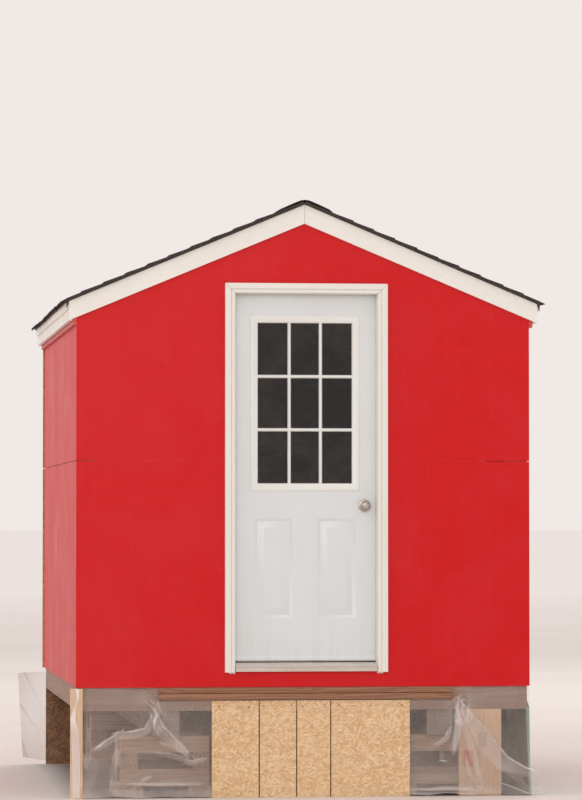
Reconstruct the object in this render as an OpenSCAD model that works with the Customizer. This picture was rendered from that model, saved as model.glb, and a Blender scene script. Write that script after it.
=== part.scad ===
// Ice fishing hut: a gable-roofed plywood cabin on timber cribbing, with an
// in-swinging half-glazed door, board skirts and plastic sheet skirts.
// X runs to the right, Y from the front wall to the back, Z up.
// The origin is on the ice, under the middle of the hut.

/* [Cabin] */
// Width over the wall studs
hut_w = 2440; // [2000:1:3200]
// Depth over the wall studs
hut_d = 3048; // [2400:1:4300]
// Clear height between the door header and the end rafters
head_room = 85; // [20:1:400]
// Rise of the roof over a run of 12
roof_rise = 5; // [3.5:0.5:9]

/* [Lumber] */
// Thickness of a two-by board
two_by = 38; // [30:1:50]
// Depth of a wall stud and of a rafter
stud_d = 89; // [75:1:110]
// Height of a floor joist
joist_h = 140; // [115:1:190]
// Thickness of a one-by board
one_by = 19; // [15:1:25]
// Largest spacing of studs, joists and rafters
frame_pitch = 610; // [400:1:800]
// Gap left where two boards of one frame butt
butt_gap = 1.5; // [1:0.1:3]

/* [Sheathing] */
// Thickness of the plywood wall sheets
siding_t = 12.5; // [9:0.5:19]
// Height of the lowest row of wall sheets
sheet_h = 1219; // [900:1:1500]
// Gap between two rows of wall sheets
sheet_gap = 3; // [2:0.5:6]
// How far the wall sheets lap down over the floor frame
siding_lap = 53; // [30:1:80]
// How far the back wall's sheets stand out past the side sheets
back_lip = 9; // [0:1:12]
// Thickness of the floor deck
deck_t = 19; // [15:1:25]

/* [Cribbing] */
// Thickness of the planks that lie on the ice
pad_t = 60; // [38:1:90]
// Side of a square crib block
block_t = 89; // [70:1:120]
// Length of a crib block
block_l = 475; // [400:1:600]
// Side of a square skid
skid_t = 140; // [110:1:180]
// Distance of a skid from the middle of the hut
skid_x = 743; // [650:1:780]
// Distance of a crib from the nearer end wall
crib_in = 324; // [300:1:450]

/* [Roof] */
// Thickness of the roof deck
roof_deck_t = 11; // [9:0.5:19]
// Thickness of the shingles
shingle_t = 12; // [8:0.5:16]
// Thickness of the ridge cap
cap_t = 6; // [4:0.5:10]
// Width of one leg of the ridge cap
cap_w = 150; // [100:1:200]
// Width of the rake and fascia boards
rake_w = 95; // [80:1:140]
// Clear space between a side wall and the fascia
fascia_gap = 22; // [15:1:60]
// How far the roof deck reaches past the fascia
deck_over = 16; // [5:1:25]
// How far the shingles reach past the roof deck at the eaves
shingle_over = 23.5; // [10:0.5:40]
// How far the shingles reach past the rake boards
rake_over = 14.5; // [10:0.5:30]
// Height of the frieze board under the eaves
frieze_h = 38; // [25:1:60]
// Gap between two layers of the roof
layer_gap = 0.1; // [0.1:0.1:1]

/* [Door] */
// Width of the door leaf
door_w = 790; // [650:1:900]
// Height of the door leaf
door_h = 1990; // [1600:1:2450]
// Thickness of the door leaf
door_t = 44; // [35:1:50]
// Distance of the door's middle from the middle of the hut
door_x = 11; // [-60:1:60]
// Running clearance round the leaf
door_gap = 5; // [5:0.5:8]
// Overlap of the stop over the edge of the leaf
stop_lap = 10; // [8:1:16]
// Height of the threshold
sill_h = 58; // [40:1:70]
// Height of the sweep under the leaf
sweep_h = 5.5; // [4:0.5:12]
// Gap between the sweep and the threshold
sweep_gap = 5.5; // [5:0.5:8]
// Width of the casing
casing_w = 54; // [45:1:80]
// Thickness of the casing
casing_t = 28; // [20:1:32]
// Width of the glazing frame
lite_w = 596; // [450:1:620]
// Height of the glazing frame
lite_h = 951; // [700:1:1000]
// Width of the moulding of the glazing frame
lite_frame_w = 42; // [30:1:60]
// Thickness of the glazing
glass_t = 18; // [10:1:22]
// Height of the leaf over the glazing frame
top_rail = 123; // [80:1:200]
// Height of the leaf under the lower panels
bottom_rail = 229; // [150:1:300]
// Height of the leaf between the lower panels and the glazing frame
lock_rail = 147; // [120:1:200]
// Width of one lower panel
panel_w = 210; // [150:1:240]

/* [Door furniture] */
// Distance of the knob from the edge of the leaf
backset = 70; // [60:1:80]
// How far the knob's middle lies under the glazing frame
knob_drop = 79; // [60:1:100]
// Diameter of the knob
knob_d = 53; // [45:1:60]
// Diameter of the rosette
rosette_d = 66; // [60:1:75]
// Height of a hinge
hinge_h = 89; // [75:1:110]
// Diameter of a hinge knuckle
knuckle_d = 13; // [11:0.5:16]
// Diameter of a hinge pin
pin_d = 6; // [5:0.5:8]
// Radial clearance of a hinge pin
pin_gap = 0.05; // [0.02:0.01:0.1]

/* [Skirts] */
// Height of the board skirts at the front
skirt_h = 520; // [500:1:560]
// Thickness of the board skirts
skirt_t = 11; // [9:1:19]
// Height of the skirt at the back
back_skirt_h = 530; // [500:1:570]
// Height of one skirt cleat
cleat_h = 30; // [20:1:36]
// Distance of the cleats' left end from the middle of the hut
cleat_l = 786; // [700:1:900]
// Distance of the cleats' right end from the middle of the hut
cleat_r = 808; // [700:1:900]
// Thickness of a plastic sheet skirt
poly_t = 4; // [3:1:6]
// Gap between a plastic sheet and what it lies on
poly_gap = 0.3; // [0.3:0.1:1]

/* [Hidden] */
$fn = 48;

// Colours
pine = [0.78, 0.64, 0.47];
grey_pine = [0.55, 0.48, 0.42];
red = [0.75, 0.11, 0.12];
cream = [0.87, 0.83, 0.76];
white = [0.84, 0.84, 0.82];
shingle_grey = [0.16, 0.14, 0.13];
board_tan = [0.80, 0.66, 0.48];
brown = [0.31, 0.20, 0.13];
clear_film = [0.75, 0.78, 0.76, 0.45];
nickel = [0.60, 0.56, 0.52];

// Heights, from the ice up
block_top = pad_t + 3 * block_t;
skid_top = block_top + skid_t;
joist_bottom = skid_top + two_by;
joist_top = joist_bottom + joist_h;
floor_z = joist_top + deck_t;
siding_bottom = joist_top - siding_lap;
seam_z = siding_bottom + sheet_h;

// Half sizes of the frame and of the sheathed walls
half_w = hut_w / 2;
half_d = hut_d / 2;
side_face = half_w + siding_t;
end_face = half_d + siding_t;
stud_in_x = half_w - stud_d;
stud_in_y = half_d - stud_d;

// Door opening
leaf_bottom = floor_z + sill_h + sweep_gap + sweep_h;
leaf_top = leaf_bottom + door_h;
leaf_l = door_x - door_w / 2;
leaf_r = door_x + door_w / 2;
rabbet_l = leaf_l - door_gap;
rabbet_r = leaf_r + door_gap;
rabbet_top = leaf_top + door_gap;
opening_l = rabbet_l - one_by;
opening_r = rabbet_r + one_by;
opening_top = rabbet_top + one_by;
stop_l = leaf_l + stop_lap;
stop_r = leaf_r - stop_lap;
stop_top = leaf_top - stop_lap;
leaf_in = -stud_in_y;
leaf_out = leaf_in - door_t;
stop_y = leaf_out - door_gap;
nose_drop = 12;
nose_z = floor_z + nose_drop;
sill_z = floor_z + sill_h;
reveal = 3;
casing_l = stop_l - reveal;
casing_r = stop_r + reveal;
casing_top = stop_top + reveal;
nose_out = 25;
nose_fall = 18;
casing_drop = 4;

// Roof slope: every roof line is peak - slope * |x|, and each layer has a peak for its underside
slope = roof_rise / 12;
pitch = atan(slope);
rafter_v = stud_d / cos(pitch);
deck_v = roof_deck_t / cos(pitch);
shingle_v = shingle_t / cos(pitch);
cap_v = cap_t / cos(pitch);
rake_v = rake_w / cos(pitch);
rafter_peak = opening_top + stud_d + head_room + slope * max(-opening_l, opening_r);
plate_top = rafter_peak - slope * stud_in_x;
rafter_top = rafter_peak + rafter_v;
deck_peak = rafter_top + layer_gap;
shingle_peak = deck_peak + deck_v + layer_gap;
cap_peak = shingle_peak + shingle_v + layer_gap;
fascia_in = side_face + fascia_gap;
fascia_out = fascia_in + one_by;
deck_edge = fascia_out + deck_over;
eave_edge = deck_edge + shingle_over;
rake_out = end_face + one_by;
deck_end = rake_out + 0.5 * rake_over;
roof_end = rake_out + rake_over;
cap_run = cap_w * cos(pitch);
ridge_h = 140;
wall_gap = 1;
siding_top = rafter_peak - slope * fascia_in;

function line_z(peak, x) = peak - slope * abs(x);

// Glazing
lite_z = leaf_top - top_rail - lite_h / 2;
lite_foot = lite_z - lite_h / 2;
cut_in = 18;
cut_w = lite_w - 2 * cut_in;
cut_h = lite_h - 2 * cut_in;
glass_play = 1;
frame_proud = 12;
panel_top = lite_foot - lock_rail;
panel_h = panel_top - leaf_bottom - bottom_rail;
panel_x = 172;
groove_w = 18;
groove_d = 5;

// Hinges and knob
plate_t = 2;
plate_w = 32;
hinge_x = (leaf_l + rabbet_l) / 2;
hinge_y = leaf_in + knuckle_d / 2;
hinge_in = 180;
hinge_zs = [
    leaf_bottom + hinge_in,
    leaf_bottom + door_h / 2 - hinge_h / 2,
    leaf_top - hinge_in - hinge_h
];
knuckle_gap = 0.5;
knuckle_h = (hinge_h - 2 * knuckle_gap) / 3;
knob_x = leaf_r - backset;
knob_z = lite_foot - knob_drop;
spindle_d = 10;
spindle_bore = 12;
neck_d = 22;
neck_play = 0.5;
rosette_t = 8;
neck_l = 26;
neck_gap = 0.5;
neck_curve = 6;
// The knob's grip: how far each step lies in from its full radius, and out from its neck
grip = [[8, 0], [2, 6], [0, 14], [2, 24], [7, 31], [12, 34]];

// Spacing
side_bays = ceil(hut_d / frame_pitch);
bay = (hut_d - two_by) / side_bays;
frame_ys = [for (i = [0 : side_bays]) -half_d + two_by / 2 + i * bay];
crib_y = half_d - crib_in;
block_off = (block_l - block_t) / 2;
pad_l = 560;
pad_w = 140;

// Skirts
high_top = siding_bottom - 4;
film_clear = 3;
stake_w = 64;
stake_out = 42;
skirt_joint = 6;
skirt_widths = [254, 197, 179, 428];
skirt_l = -501;
skirt_r = skirt_l + run_of(len(skirt_widths)) + (len(skirt_widths) - 1) * skirt_joint;

// A box from corner a to corner b
module slab(a, b) {
    translate(a) cube(b - a);
}

// An outline in the XZ plane, from y0 to y1
module upright(y0, y1) {
    translate([0, y1, 0]) rotate([90, 0, 0]) linear_extrude(y1 - y0) children();
}

module both_sides() {
    children();
    mirror([1, 0, 0]) children();
}

module both_ends() {
    children();
    mirror([0, 1, 0]) children();
}

module at_cribs() {
    for (x = [-skid_x, skid_x], y = [-crib_y, crib_y]) translate([x, y, 0]) children();
}

// Two blocks of one crib layer, side by side across X or along Y
module block_pair(z, across) {
    for (s = [-1, 1]) {
        if (across)
            translate([-block_l / 2, s * block_off - block_t / 2, z]) cube([block_l, block_t, block_t]);
        else
            translate([s * block_off - block_t / 2, -block_l / 2, z]) cube([block_t, block_l, block_t]);
    }
}

module ground_pads() {
    color(grey_pine) at_cribs() for (s = [-1, 1])
        translate([s * block_off - pad_w / 2, -pad_l / 2, 0]) cube([pad_w, pad_l, pad_t]);
}

module crib_cross_blocks() {
    color(pine) at_cribs() {
        block_pair(pad_t, true);
        block_pair(pad_t + 2 * block_t, true);
    }
}

module crib_long_blocks() {
    color(grey_pine) at_cribs() block_pair(pad_t + block_t, false);
}

module skids() {
    inset = 20;
    color(grey_pine) both_sides()
        slab([skid_x - skid_t / 2, -half_d + inset, block_top],
             [skid_x + skid_t / 2, half_d - inset, skid_top]);
}

// Flat planks under the floor frame: two at the sides, two at the ends, two on the skids
module sill_planks() {
    end_x = stud_in_x - butt_gap;
    mid_y = stud_in_y - butt_gap;
    color(pine) {
        both_sides() slab([stud_in_x, -half_d, skid_top], [half_w, half_d, joist_bottom]);
        both_ends() slab([-end_x, stud_in_y, skid_top], [end_x, half_d, joist_bottom]);
        both_sides()
            slab([skid_x - stud_d / 2, -mid_y, skid_top], [skid_x + stud_d / 2, mid_y, joist_bottom]);
    }
}

module floor_frame() {
    joist_x = half_w - two_by - butt_gap;
    color(pine) {
        both_sides() slab([half_w - two_by, -half_d, joist_bottom], [half_w, half_d, joist_top]);
        for (y = frame_ys)
            slab([-joist_x, y - two_by / 2, joist_bottom], [joist_x, y + two_by / 2, joist_top]);
    }
}

module floor_deck() {
    color(board_tan) slab([-half_w, -half_d, joist_top], [half_w, half_d, floor_z]);
}

// Bottom plates all round but at the doorway, and a top plate on each side wall
module wall_plates() {
    end_x = stud_in_x - butt_gap;
    color(pine) {
        both_sides() for (z = [floor_z, plate_top - two_by])
            slab([stud_in_x, -half_d, z], [half_w, half_d, z + two_by]);
        slab([-end_x, stud_in_y, floor_z], [end_x, half_d, floor_z + two_by]);
        slab([-end_x, -half_d, floor_z], [opening_l, leaf_in, floor_z + two_by]);
        slab([opening_r, -half_d, floor_z], [end_x, leaf_in, floor_z + two_by]);
    }
}

module side_studs() {
    for (y = frame_ys)
        slab([stud_in_x, y - two_by / 2, floor_z + two_by], [half_w, y + two_by / 2, plate_top - two_by]);
}

module left_wall_studs() {
    color(pine) mirror([1, 0, 0]) side_studs();
}

module right_wall_studs() {
    color(pine) side_studs();
}

// A stud of a gable wall, centred on x, cut to the slope of the end rafter
module gable_stud(x, y0, y1) {
    xa = x - two_by / 2;
    xb = x + two_by / 2;
    foot = floor_z + two_by;
    top_a = line_z(rafter_peak, xa);
    top_b = line_z(rafter_peak, xb);
    upright(y0, y1) polygon([[xa, foot], [xb, foot], [xb, top_b], [xa, top_a]]);
}

module back_wall_studs() {
    corner = stud_in_x - two_by / 2;
    color(pine) {
        for (i = [-2, -1, 1, 2]) gable_stud(i * corner / 2, stud_in_y, half_d);
        slab([-two_by / 2, stud_in_y, floor_z + two_by], [two_by / 2, half_d, ridge_bottom()]);
    }
}

module front_wall_studs() {
    corner = stud_in_x - two_by / 2;
    door_l = opening_l - two_by / 2;
    door_r = opening_r + two_by / 2;
    color(pine)
        for (x = [-corner, (door_l - corner) / 2, door_l, door_r, (door_r + corner) / 2, corner])
            gable_stud(x, -half_d, leaf_in);
}

module door_header() {
    color(pine) slab([opening_l, -half_d, opening_top], [opening_r, leaf_in, opening_top + stud_d]);
}

function ridge_bottom() = line_z(rafter_top, two_by / 2) - ridge_h;

module ridge_board() {
    color(pine)
        slab([-two_by / 2, -half_d, ridge_bottom()], [two_by / 2, half_d, ridge_bottom() + ridge_h]);
}

// One rafter outline on the right side, with its seat cut over the top plate
module rafter_outline() {
    ridge_x = two_by / 2;
    polygon([
        [ridge_x, line_z(rafter_peak, ridge_x)],
        [stud_in_x, plate_top],
        [half_w, plate_top],
        [half_w, line_z(rafter_peak, half_w)],
        [fascia_in, line_z(rafter_peak, fascia_in)],
        [fascia_in, line_z(rafter_top, fascia_in)],
        [ridge_x, line_z(rafter_top, ridge_x)]
    ]);
}

module rafters() {
    for (y = frame_ys) upright(y - two_by / 2, y + two_by / 2) rafter_outline();
}

module left_rafters() {
    color(pine) mirror([1, 0, 0]) rafters();
}

module right_rafters() {
    color(pine) rafters();
}

// A sloping layer of the right side of the roof, plumb cut at the ridge and the eave
module roof_layer(peak, height, x0, x1, reach) {
    upright(-reach, reach) polygon([
        [x0, line_z(peak, x0)],
        [x1, line_z(peak, x1)],
        [x1, line_z(peak, x1) + height],
        [x0, line_z(peak, x0) + height]
    ]);
}

module roof_deck() {
    roof_layer(deck_peak, deck_v, butt_gap / 2, deck_edge, deck_end);
}

module left_roof_deck() {
    color(board_tan) mirror([1, 0, 0]) roof_deck();
}

module right_roof_deck() {
    color(board_tan) roof_deck();
}

module shingles() {
    roof_layer(shingle_peak, shingle_v, butt_gap / 2, eave_edge, roof_end);
}

module left_shingles() {
    color(shingle_grey) mirror([1, 0, 0]) shingles();
}

module right_shingles() {
    color(shingle_grey) shingles();
}

module ridge_cap() {
    color(shingle_grey) upright(-roof_end, roof_end) polygon([
        [-cap_run, line_z(cap_peak, cap_run)],
        [0, cap_peak],
        [cap_run, line_z(cap_peak, cap_run)],
        [cap_run, line_z(cap_peak, cap_run) + cap_v],
        [0, cap_peak + cap_v],
        [-cap_run, line_z(cap_peak, cap_run) + cap_v]
    ]);
}

// Four boards along the gables, meeting in a plumb joint at each peak
module rake_boards() {
    joint = butt_gap / 2;
    color(cream) both_ends() both_sides() upright(end_face, rake_out) polygon([
        [joint, line_z(rafter_top, joint) - rake_v],
        [fascia_out, line_z(rafter_top, fascia_out) - rake_v],
        [fascia_out, line_z(rafter_top, fascia_out)],
        [joint, line_z(rafter_top, joint)]
    ]);
}

module fascia_boards() {
    top = line_z(rafter_top, fascia_out);
    color(cream) both_sides()
        slab([fascia_in, -end_face, top - rake_v], [fascia_out, end_face, top]);
}

module frieze_boards() {
    color(red) both_sides()
        slab([side_face, -end_face, siding_top - frieze_h], [side_face + one_by, half_d, siding_top]);
}

// Side wall sheets: two rows with an open seam between them
module side_siding() {
    for (z = [[siding_bottom, seam_z - sheet_gap / 2], [seam_z + sheet_gap / 2, siding_top]])
        slab([half_w, -half_d, z[0]], [side_face, half_d, z[1]]);
}

module left_siding() {
    color(red) mirror([1, 0, 0]) side_siding();
}

module right_siding() {
    color(red) side_siding();
}

// Part of a gable wall's sheets between two places along X, in two rows under the roof deck
module gable_siding(x0, x1) {
    peak = rafter_top - wall_gap;
    mid = (x0 < 0 && x1 > 0) ? [[0, peak]] : [];
    top = concat([[x1, line_z(peak, x1)]], mid, [[x0, line_z(peak, x0)]]);
    translate([x0, siding_bottom]) square([x1 - x0, seam_z - sheet_gap / 2 - siding_bottom]);
    polygon(concat([[x0, seam_z + sheet_gap / 2], [x1, seam_z + sheet_gap / 2]], top));
}

module back_siding() {
    reach = side_face + back_lip;
    color(red) upright(half_d, end_face) gable_siding(-reach, reach);
}

module front_siding_left() {
    color(red) upright(-end_face, -half_d) gable_siding(-side_face, opening_l);
}

module front_siding_right() {
    color(red) upright(-end_face, -half_d) gable_siding(opening_r, side_face);
}

module front_siding_over_door() {
    peak = rafter_top - wall_gap;
    color(red) upright(-end_face, -half_d) polygon([
        [opening_l, opening_top],
        [opening_r, opening_top],
        [opening_r, line_z(peak, opening_r)],
        [0, peak],
        [opening_l, line_z(peak, opening_l)]
    ]);
}

module front_siding_under_door() {
    color(red) upright(-end_face, -half_d) polygon([
        [opening_l, siding_bottom], [opening_r, siding_bottom],
        [opening_r, floor_z], [stop_r, floor_z], [stop_r, nose_z],
        [stop_l, nose_z], [stop_l, floor_z], [opening_l, floor_z]
    ]);
}

// Cross-section of the casing: u runs outward from the opening, v out of the wall
module casing_section() {
    bead = 20;
    groove = 2.5;
    arris = 2;
    step = 3;
    nose = 3;
    groove_foot = 6.5;
    polygon([
        [0, 0], [casing_w, 0], [casing_w, casing_t - arris], [casing_w - arris, casing_t],
        [bead + groove + arris, casing_t], [bead + groove, casing_t - arris],
        [bead + groove, casing_t - groove_foot], [bead, casing_t - groove_foot],
        [bead, casing_t - step - arris], [bead - nose, casing_t - step],
        [nose, casing_t - step], [0, casing_t - step - nose]
    ]);
}

// The casing: two legs and a head, mitred, with a hairline left open at each mitre
module door_casing() {
    foot = nose_z - casing_drop;
    top = casing_top + casing_w;
    hair = butt_gap / 2;
    color(cream) {
        difference() {
            union() {
                translate([casing_l, -end_face, foot]) rotate([0, 0, 180]) linear_extrude(top - foot)
                    casing_section();
                translate([casing_r, -end_face, foot]) mirror([0, 1, 0]) linear_extrude(top - foot)
                    casing_section();
            }
            upright(-end_face - casing_t - 1, -end_face + 1) polygon([
                [casing_l + 1, casing_top - hair - 1],
                [casing_l - casing_w - 1, casing_top + casing_w - hair + 1],
                [casing_l - casing_w - 1, top + 2 * casing_w],
                [casing_r + casing_w + 1, top + 2 * casing_w],
                [casing_r + casing_w + 1, casing_top + casing_w - hair + 1],
                [casing_r - 1, casing_top - hair - 1]
            ]);
        }
        intersection() {
            translate([casing_l - casing_w, -end_face, casing_top]) rotate([90, 0, 90])
                linear_extrude(casing_r - casing_l + 2 * casing_w) mirror([1, 0, 0]) rotate([0, 0, 90])
                    mirror([0, 1, 0]) casing_section();
            upright(-end_face - casing_t - 1, -end_face + 1) polygon([
                [casing_l + 1, casing_top + hair - 1],
                [casing_r - 1, casing_top + hair - 1],
                [casing_r + casing_w + 1, casing_top + casing_w + hair + 1],
                [casing_l - casing_w - 1, casing_top + casing_w + hair + 1]
            ]);
        }
    }
}

// The jamb: two rabbeted legs and a head between the wall studs
module door_jamb() {
    color(cream) {
        jamb_leg(opening_l, rabbet_l, stop_l);
        jamb_leg(opening_r, rabbet_r, stop_r);
        difference() {
            slab([rabbet_l + butt_gap, -end_face, stop_top], [rabbet_r - butt_gap, leaf_in, opening_top]);
            slab([rabbet_l - 1, stop_y, stop_top - 1], [rabbet_r + 1, leaf_in + 1, rabbet_top]);
            slab([rabbet_l - 1, -end_face - 1, stop_top - 1], [stop_l + butt_gap, stop_y + 1, rabbet_top]);
            slab([stop_r - butt_gap, -end_face - 1, stop_top - 1], [rabbet_r + 1, stop_y + 1, rabbet_top]);
        }
    }
}

// One leg of the jamb, with the stop standing proud of its rabbet
module jamb_leg(outer, rabbet, stop) {
    slab([min(outer, rabbet), -end_face, floor_z], [max(outer, rabbet), leaf_in, opening_top]);
    slab([min(rabbet, stop), -end_face, floor_z], [max(rabbet, stop), stop_y, rabbet_top]);
}

module threshold() {
    color(cream) {
        translate([stop_l, 0, 0]) rotate([90, 0, 90]) linear_extrude(stop_r - stop_l) polygon([
            [-half_d, floor_z], [stop_y, floor_z], [stop_y, sill_z],
            [-end_face - nose_out, sill_z - nose_fall], [-end_face - nose_out, nose_z], [-half_d, nose_z]
        ]);
        slab([rabbet_l, stop_y, floor_z], [rabbet_r, leaf_in, sill_z]);
    }
}

// A knuckle ring with its bore, standing at the hinge line
module knuckle(z, bore) {
    translate([hinge_x, hinge_y, z]) difference() {
        cylinder(d = knuckle_d, h = knuckle_h);
        if (bore) translate([0, 0, -1]) cylinder(d = pin_d + 2 * pin_gap, h = knuckle_h + 2);
    }
}

// The jamb's half of each hinge: plate, outer knuckles and pin in one piece
module jamb_hinges() {
    color(nickel) for (z = hinge_zs) {
        difference() {
            slab([rabbet_l, leaf_in - plate_w, z], [rabbet_l + plate_t, hinge_y, z + hinge_h]);
            translate([hinge_x, hinge_y, z + knuckle_h])
                cylinder(d = knuckle_d + 2, h = knuckle_h + 2 * knuckle_gap);
        }
        knuckle(z, false);
        knuckle(z + 2 * (knuckle_h + knuckle_gap), false);
        translate([hinge_x, hinge_y, z]) cylinder(d = pin_d, h = hinge_h);
    }
}

// The leaf's half of each hinge: plate and middle knuckle
module door_hinges() {
    color(nickel) for (z = hinge_zs) {
        mid = z + knuckle_h + knuckle_gap;
        difference() {
            slab([leaf_l - plate_t, leaf_in - plate_w, z], [leaf_l, hinge_y, z + hinge_h]);
            translate([hinge_x, hinge_y, mid - 1]) cylinder(d = pin_d + 2 * pin_gap, h = knuckle_h + 2);
            for (s = [z - 1, mid + knuckle_h])
                translate([hinge_x, hinge_y, s])
                    cylinder(d = knuckle_d + 2, h = knuckle_h + knuckle_gap + 1);
        }
        knuckle(mid, true);
    }
}

// The rectangular groove round one raised panel, cut into both faces
module panel_grooves(x) {
    for (y = [leaf_out, leaf_in]) difference() {
        slab([x - panel_w / 2, y - groove_d, panel_top - panel_h],
             [x + panel_w / 2, y + groove_d, panel_top]);
        slab([x - panel_w / 2 + groove_w, y - groove_d - 1, panel_top - panel_h + groove_w],
             [x + panel_w / 2 - groove_w, y + groove_d + 1, panel_top - groove_w]);
    }
}

module door_leaf() {
    color(white) difference() {
        slab([leaf_l, leaf_out, leaf_bottom], [leaf_r, leaf_in, leaf_top]);
        slab([door_x - cut_w / 2, leaf_out - 1, lite_z - cut_h / 2],
             [door_x + cut_w / 2, leaf_in + 1, lite_z + cut_h / 2]);
        for (s = [-1, 1]) panel_grooves(door_x + s * panel_x);
        translate([knob_x, leaf_in + 1, knob_z]) rotate([90, 0, 0])
            cylinder(d = spindle_bore, h = door_t + 2);
    }
}

module door_glass() {
    pane_w = cut_w - 2 * glass_play;
    pane_h = cut_h - 2 * glass_play;
    mid = leaf_in - door_t / 2;
    color([0.2, 0.22, 0.24, 0.6])
        slab([door_x - pane_w / 2, mid - glass_t / 2, lite_z - pane_h / 2],
             [door_x + pane_w / 2, mid + glass_t / 2, lite_z + pane_h / 2]);
}

// A rectangular ring round the middle of the glazing
module lite_ring(w, h, y0, y1) {
    see_w = lite_w - 2 * lite_frame_w;
    see_h = lite_h - 2 * lite_frame_w;
    difference() {
        slab([door_x - w / 2, y0, lite_z - h / 2], [door_x + w / 2, y1, lite_z + h / 2]);
        slab([door_x - see_w / 2, y0 - 1, lite_z - see_h / 2],
             [door_x + see_w / 2, y1 + 1, lite_z + see_h / 2]);
    }
}

// The glazing frames, one on each face of the leaf, with lips that hold the pane
module glazing_frames() {
    mid = leaf_in - door_t / 2;
    lip_w = cut_w - 2 * glass_play;
    lip_h = cut_h - 2 * glass_play;
    color(white) {
        lite_ring(lite_w, lite_h, leaf_out - frame_proud, leaf_out);
        lite_ring(lip_w, lip_h, leaf_out, mid - glass_t / 2);
        lite_ring(lite_w, lite_h, leaf_in, leaf_in + frame_proud);
        lite_ring(lip_w, lip_h, mid + glass_t / 2, leaf_in);
    }
}

module door_sweep() {
    color(white) slab([leaf_l, leaf_out, leaf_bottom - sweep_h], [leaf_r, leaf_in, leaf_bottom]);
}

// A ring plate on each face of the leaf, round the neck of the knob
module rosettes() {
    hole = neck_d + 2 * neck_play;
    color(nickel) for (y = [leaf_out - rosette_t, leaf_in])
        translate([knob_x, y + rosette_t, knob_z]) rotate([90, 0, 0]) difference() {
            cylinder(d = rosette_d, h = rosette_t);
            translate([0, 0, -1]) cylinder(d = hole, h = rosette_t + 2);
        }
}

// Outline of one knob with its neck; x is the radius, y the distance from the leaf
module knob_outline() {
    neck = [[0, neck_gap], [neck_d / 2, neck_gap], [neck_d / 2, neck_l - neck_curve]];
    steps = [for (g = grip) [knob_d / 2 - g[0], neck_l + g[1]]];
    polygon(concat(neck, steps, [[0, neck_l + grip[len(grip) - 1][1]]]));
}

module knob() {
    color(nickel) translate([knob_x, 0, knob_z]) {
        translate([0, leaf_out, 0]) rotate([90, 0, 0]) rotate_extrude() knob_outline();
        translate([0, leaf_in, 0]) rotate([-90, 0, 0]) rotate_extrude() knob_outline();
        translate([0, leaf_in + 1, 0]) rotate([90, 0, 0]) cylinder(d = spindle_d, h = door_t + 2);
    }
}

// Two strips on the face of the front joist, over the board skirts
module skirt_cleats() {
    apart = 3.5;
    step = 6;
    upper = siding_bottom - butt_gap;
    lower = upper - cleat_h - apart;
    color(brown) {
        slab([-cleat_l, -half_d - one_by, upper - cleat_h], [cleat_r, -half_d, upper]);
        slab([-cleat_l, -half_d - one_by - step, lower - cleat_h], [cleat_r, -half_d, lower]);
    }
}

// The stake at the front left corner and the wide board at the front right
module skirt_posts() {
    board_w = 232;
    board_in = 142;
    color(pine) {
        slab([-half_w - stake_out, -half_d - two_by, 0],
             [-half_w - stake_out + stake_w, -half_d, high_top]);
        slab([half_w - board_in - board_w, -half_d, 0], [half_w - board_in, -half_d + two_by, skid_top]);
    }
}

// Four board skirts of their own widths, side by side under the doorway
module board_skirts() {
    color(board_tan) for (i = [0 : len(skirt_widths) - 1]) {
        x = skirt_l + run_of(i) + i * skirt_joint;
        slab([x, -half_d - skirt_t, 0], [x + skirt_widths[i], -half_d, skirt_h]);
    }
}

// Width of the first n board skirts together
function run_of(n) = n == 0 ? 0 : skirt_widths[n - 1] + run_of(n - 1);

module back_skirt() {
    color(brown) both_sides()
        slab([butt_gap, half_d, 0], [half_w, half_d + skirt_t, back_skirt_h]);
}

// A plastic sheet outline between x0 and x1, lower where the cleats are
module front_sheet(x0, x1, step_x, step_left) {
    low = skirt_h + film_clear;
    color(clear_film) upright(-half_d - poly_gap - poly_t, -half_d - poly_gap)
        polygon(step_left
            ? [[x0, 0], [x1, 0], [x1, high_top], [step_x, high_top], [step_x, low], [x0, low]]
            : [[x0, 0], [x1, 0], [x1, low], [step_x, low], [step_x, high_top], [x0, high_top]]);
}

module plastic_front_left() {
    front_sheet(-half_w + stake_w - stake_out + 2, skirt_l - film_clear, -cleat_l - film_clear, false);
}

module plastic_front_right() {
    front_sheet(skirt_r + poly_gap, half_w - film_clear, cleat_r + film_clear, true);
}

module plastic_right() {
    color(clear_film)
        slab([half_w + poly_gap, -half_d, 0], [half_w + poly_gap + poly_t, half_d, high_top]);
}

// A loose sheet over the back skirt that stands out past the left corner
module plastic_back() {
    face = half_d + skirt_t + poly_gap;
    inner = 700;
    color(clear_film) slab([-eave_edge + film_clear, face, 0], [-inner, face + poly_t, skirt_h]);
}

ground_pads();
crib_cross_blocks();
crib_long_blocks();
skids();
sill_planks();
floor_frame();
floor_deck();
wall_plates();
left_wall_studs();
right_wall_studs();
back_wall_studs();
front_wall_studs();
door_header();
ridge_board();
left_rafters();
right_rafters();
left_roof_deck();
right_roof_deck();
left_shingles();
right_shingles();
ridge_cap();
rake_boards();
fascia_boards();
frieze_boards();
left_siding();
right_siding();
back_siding();
front_siding_left();
front_siding_right();
front_siding_over_door();
front_siding_under_door();
door_casing();
door_jamb();
threshold();
jamb_hinges();
skirt_cleats();
skirt_posts();
board_skirts();
back_skirt();
plastic_front_left();
plastic_front_right();
plastic_right();
plastic_back();
door_leaf();
door_glass();
glazing_frames();
door_sweep();
door_hinges();
rosettes();
knob();
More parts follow.
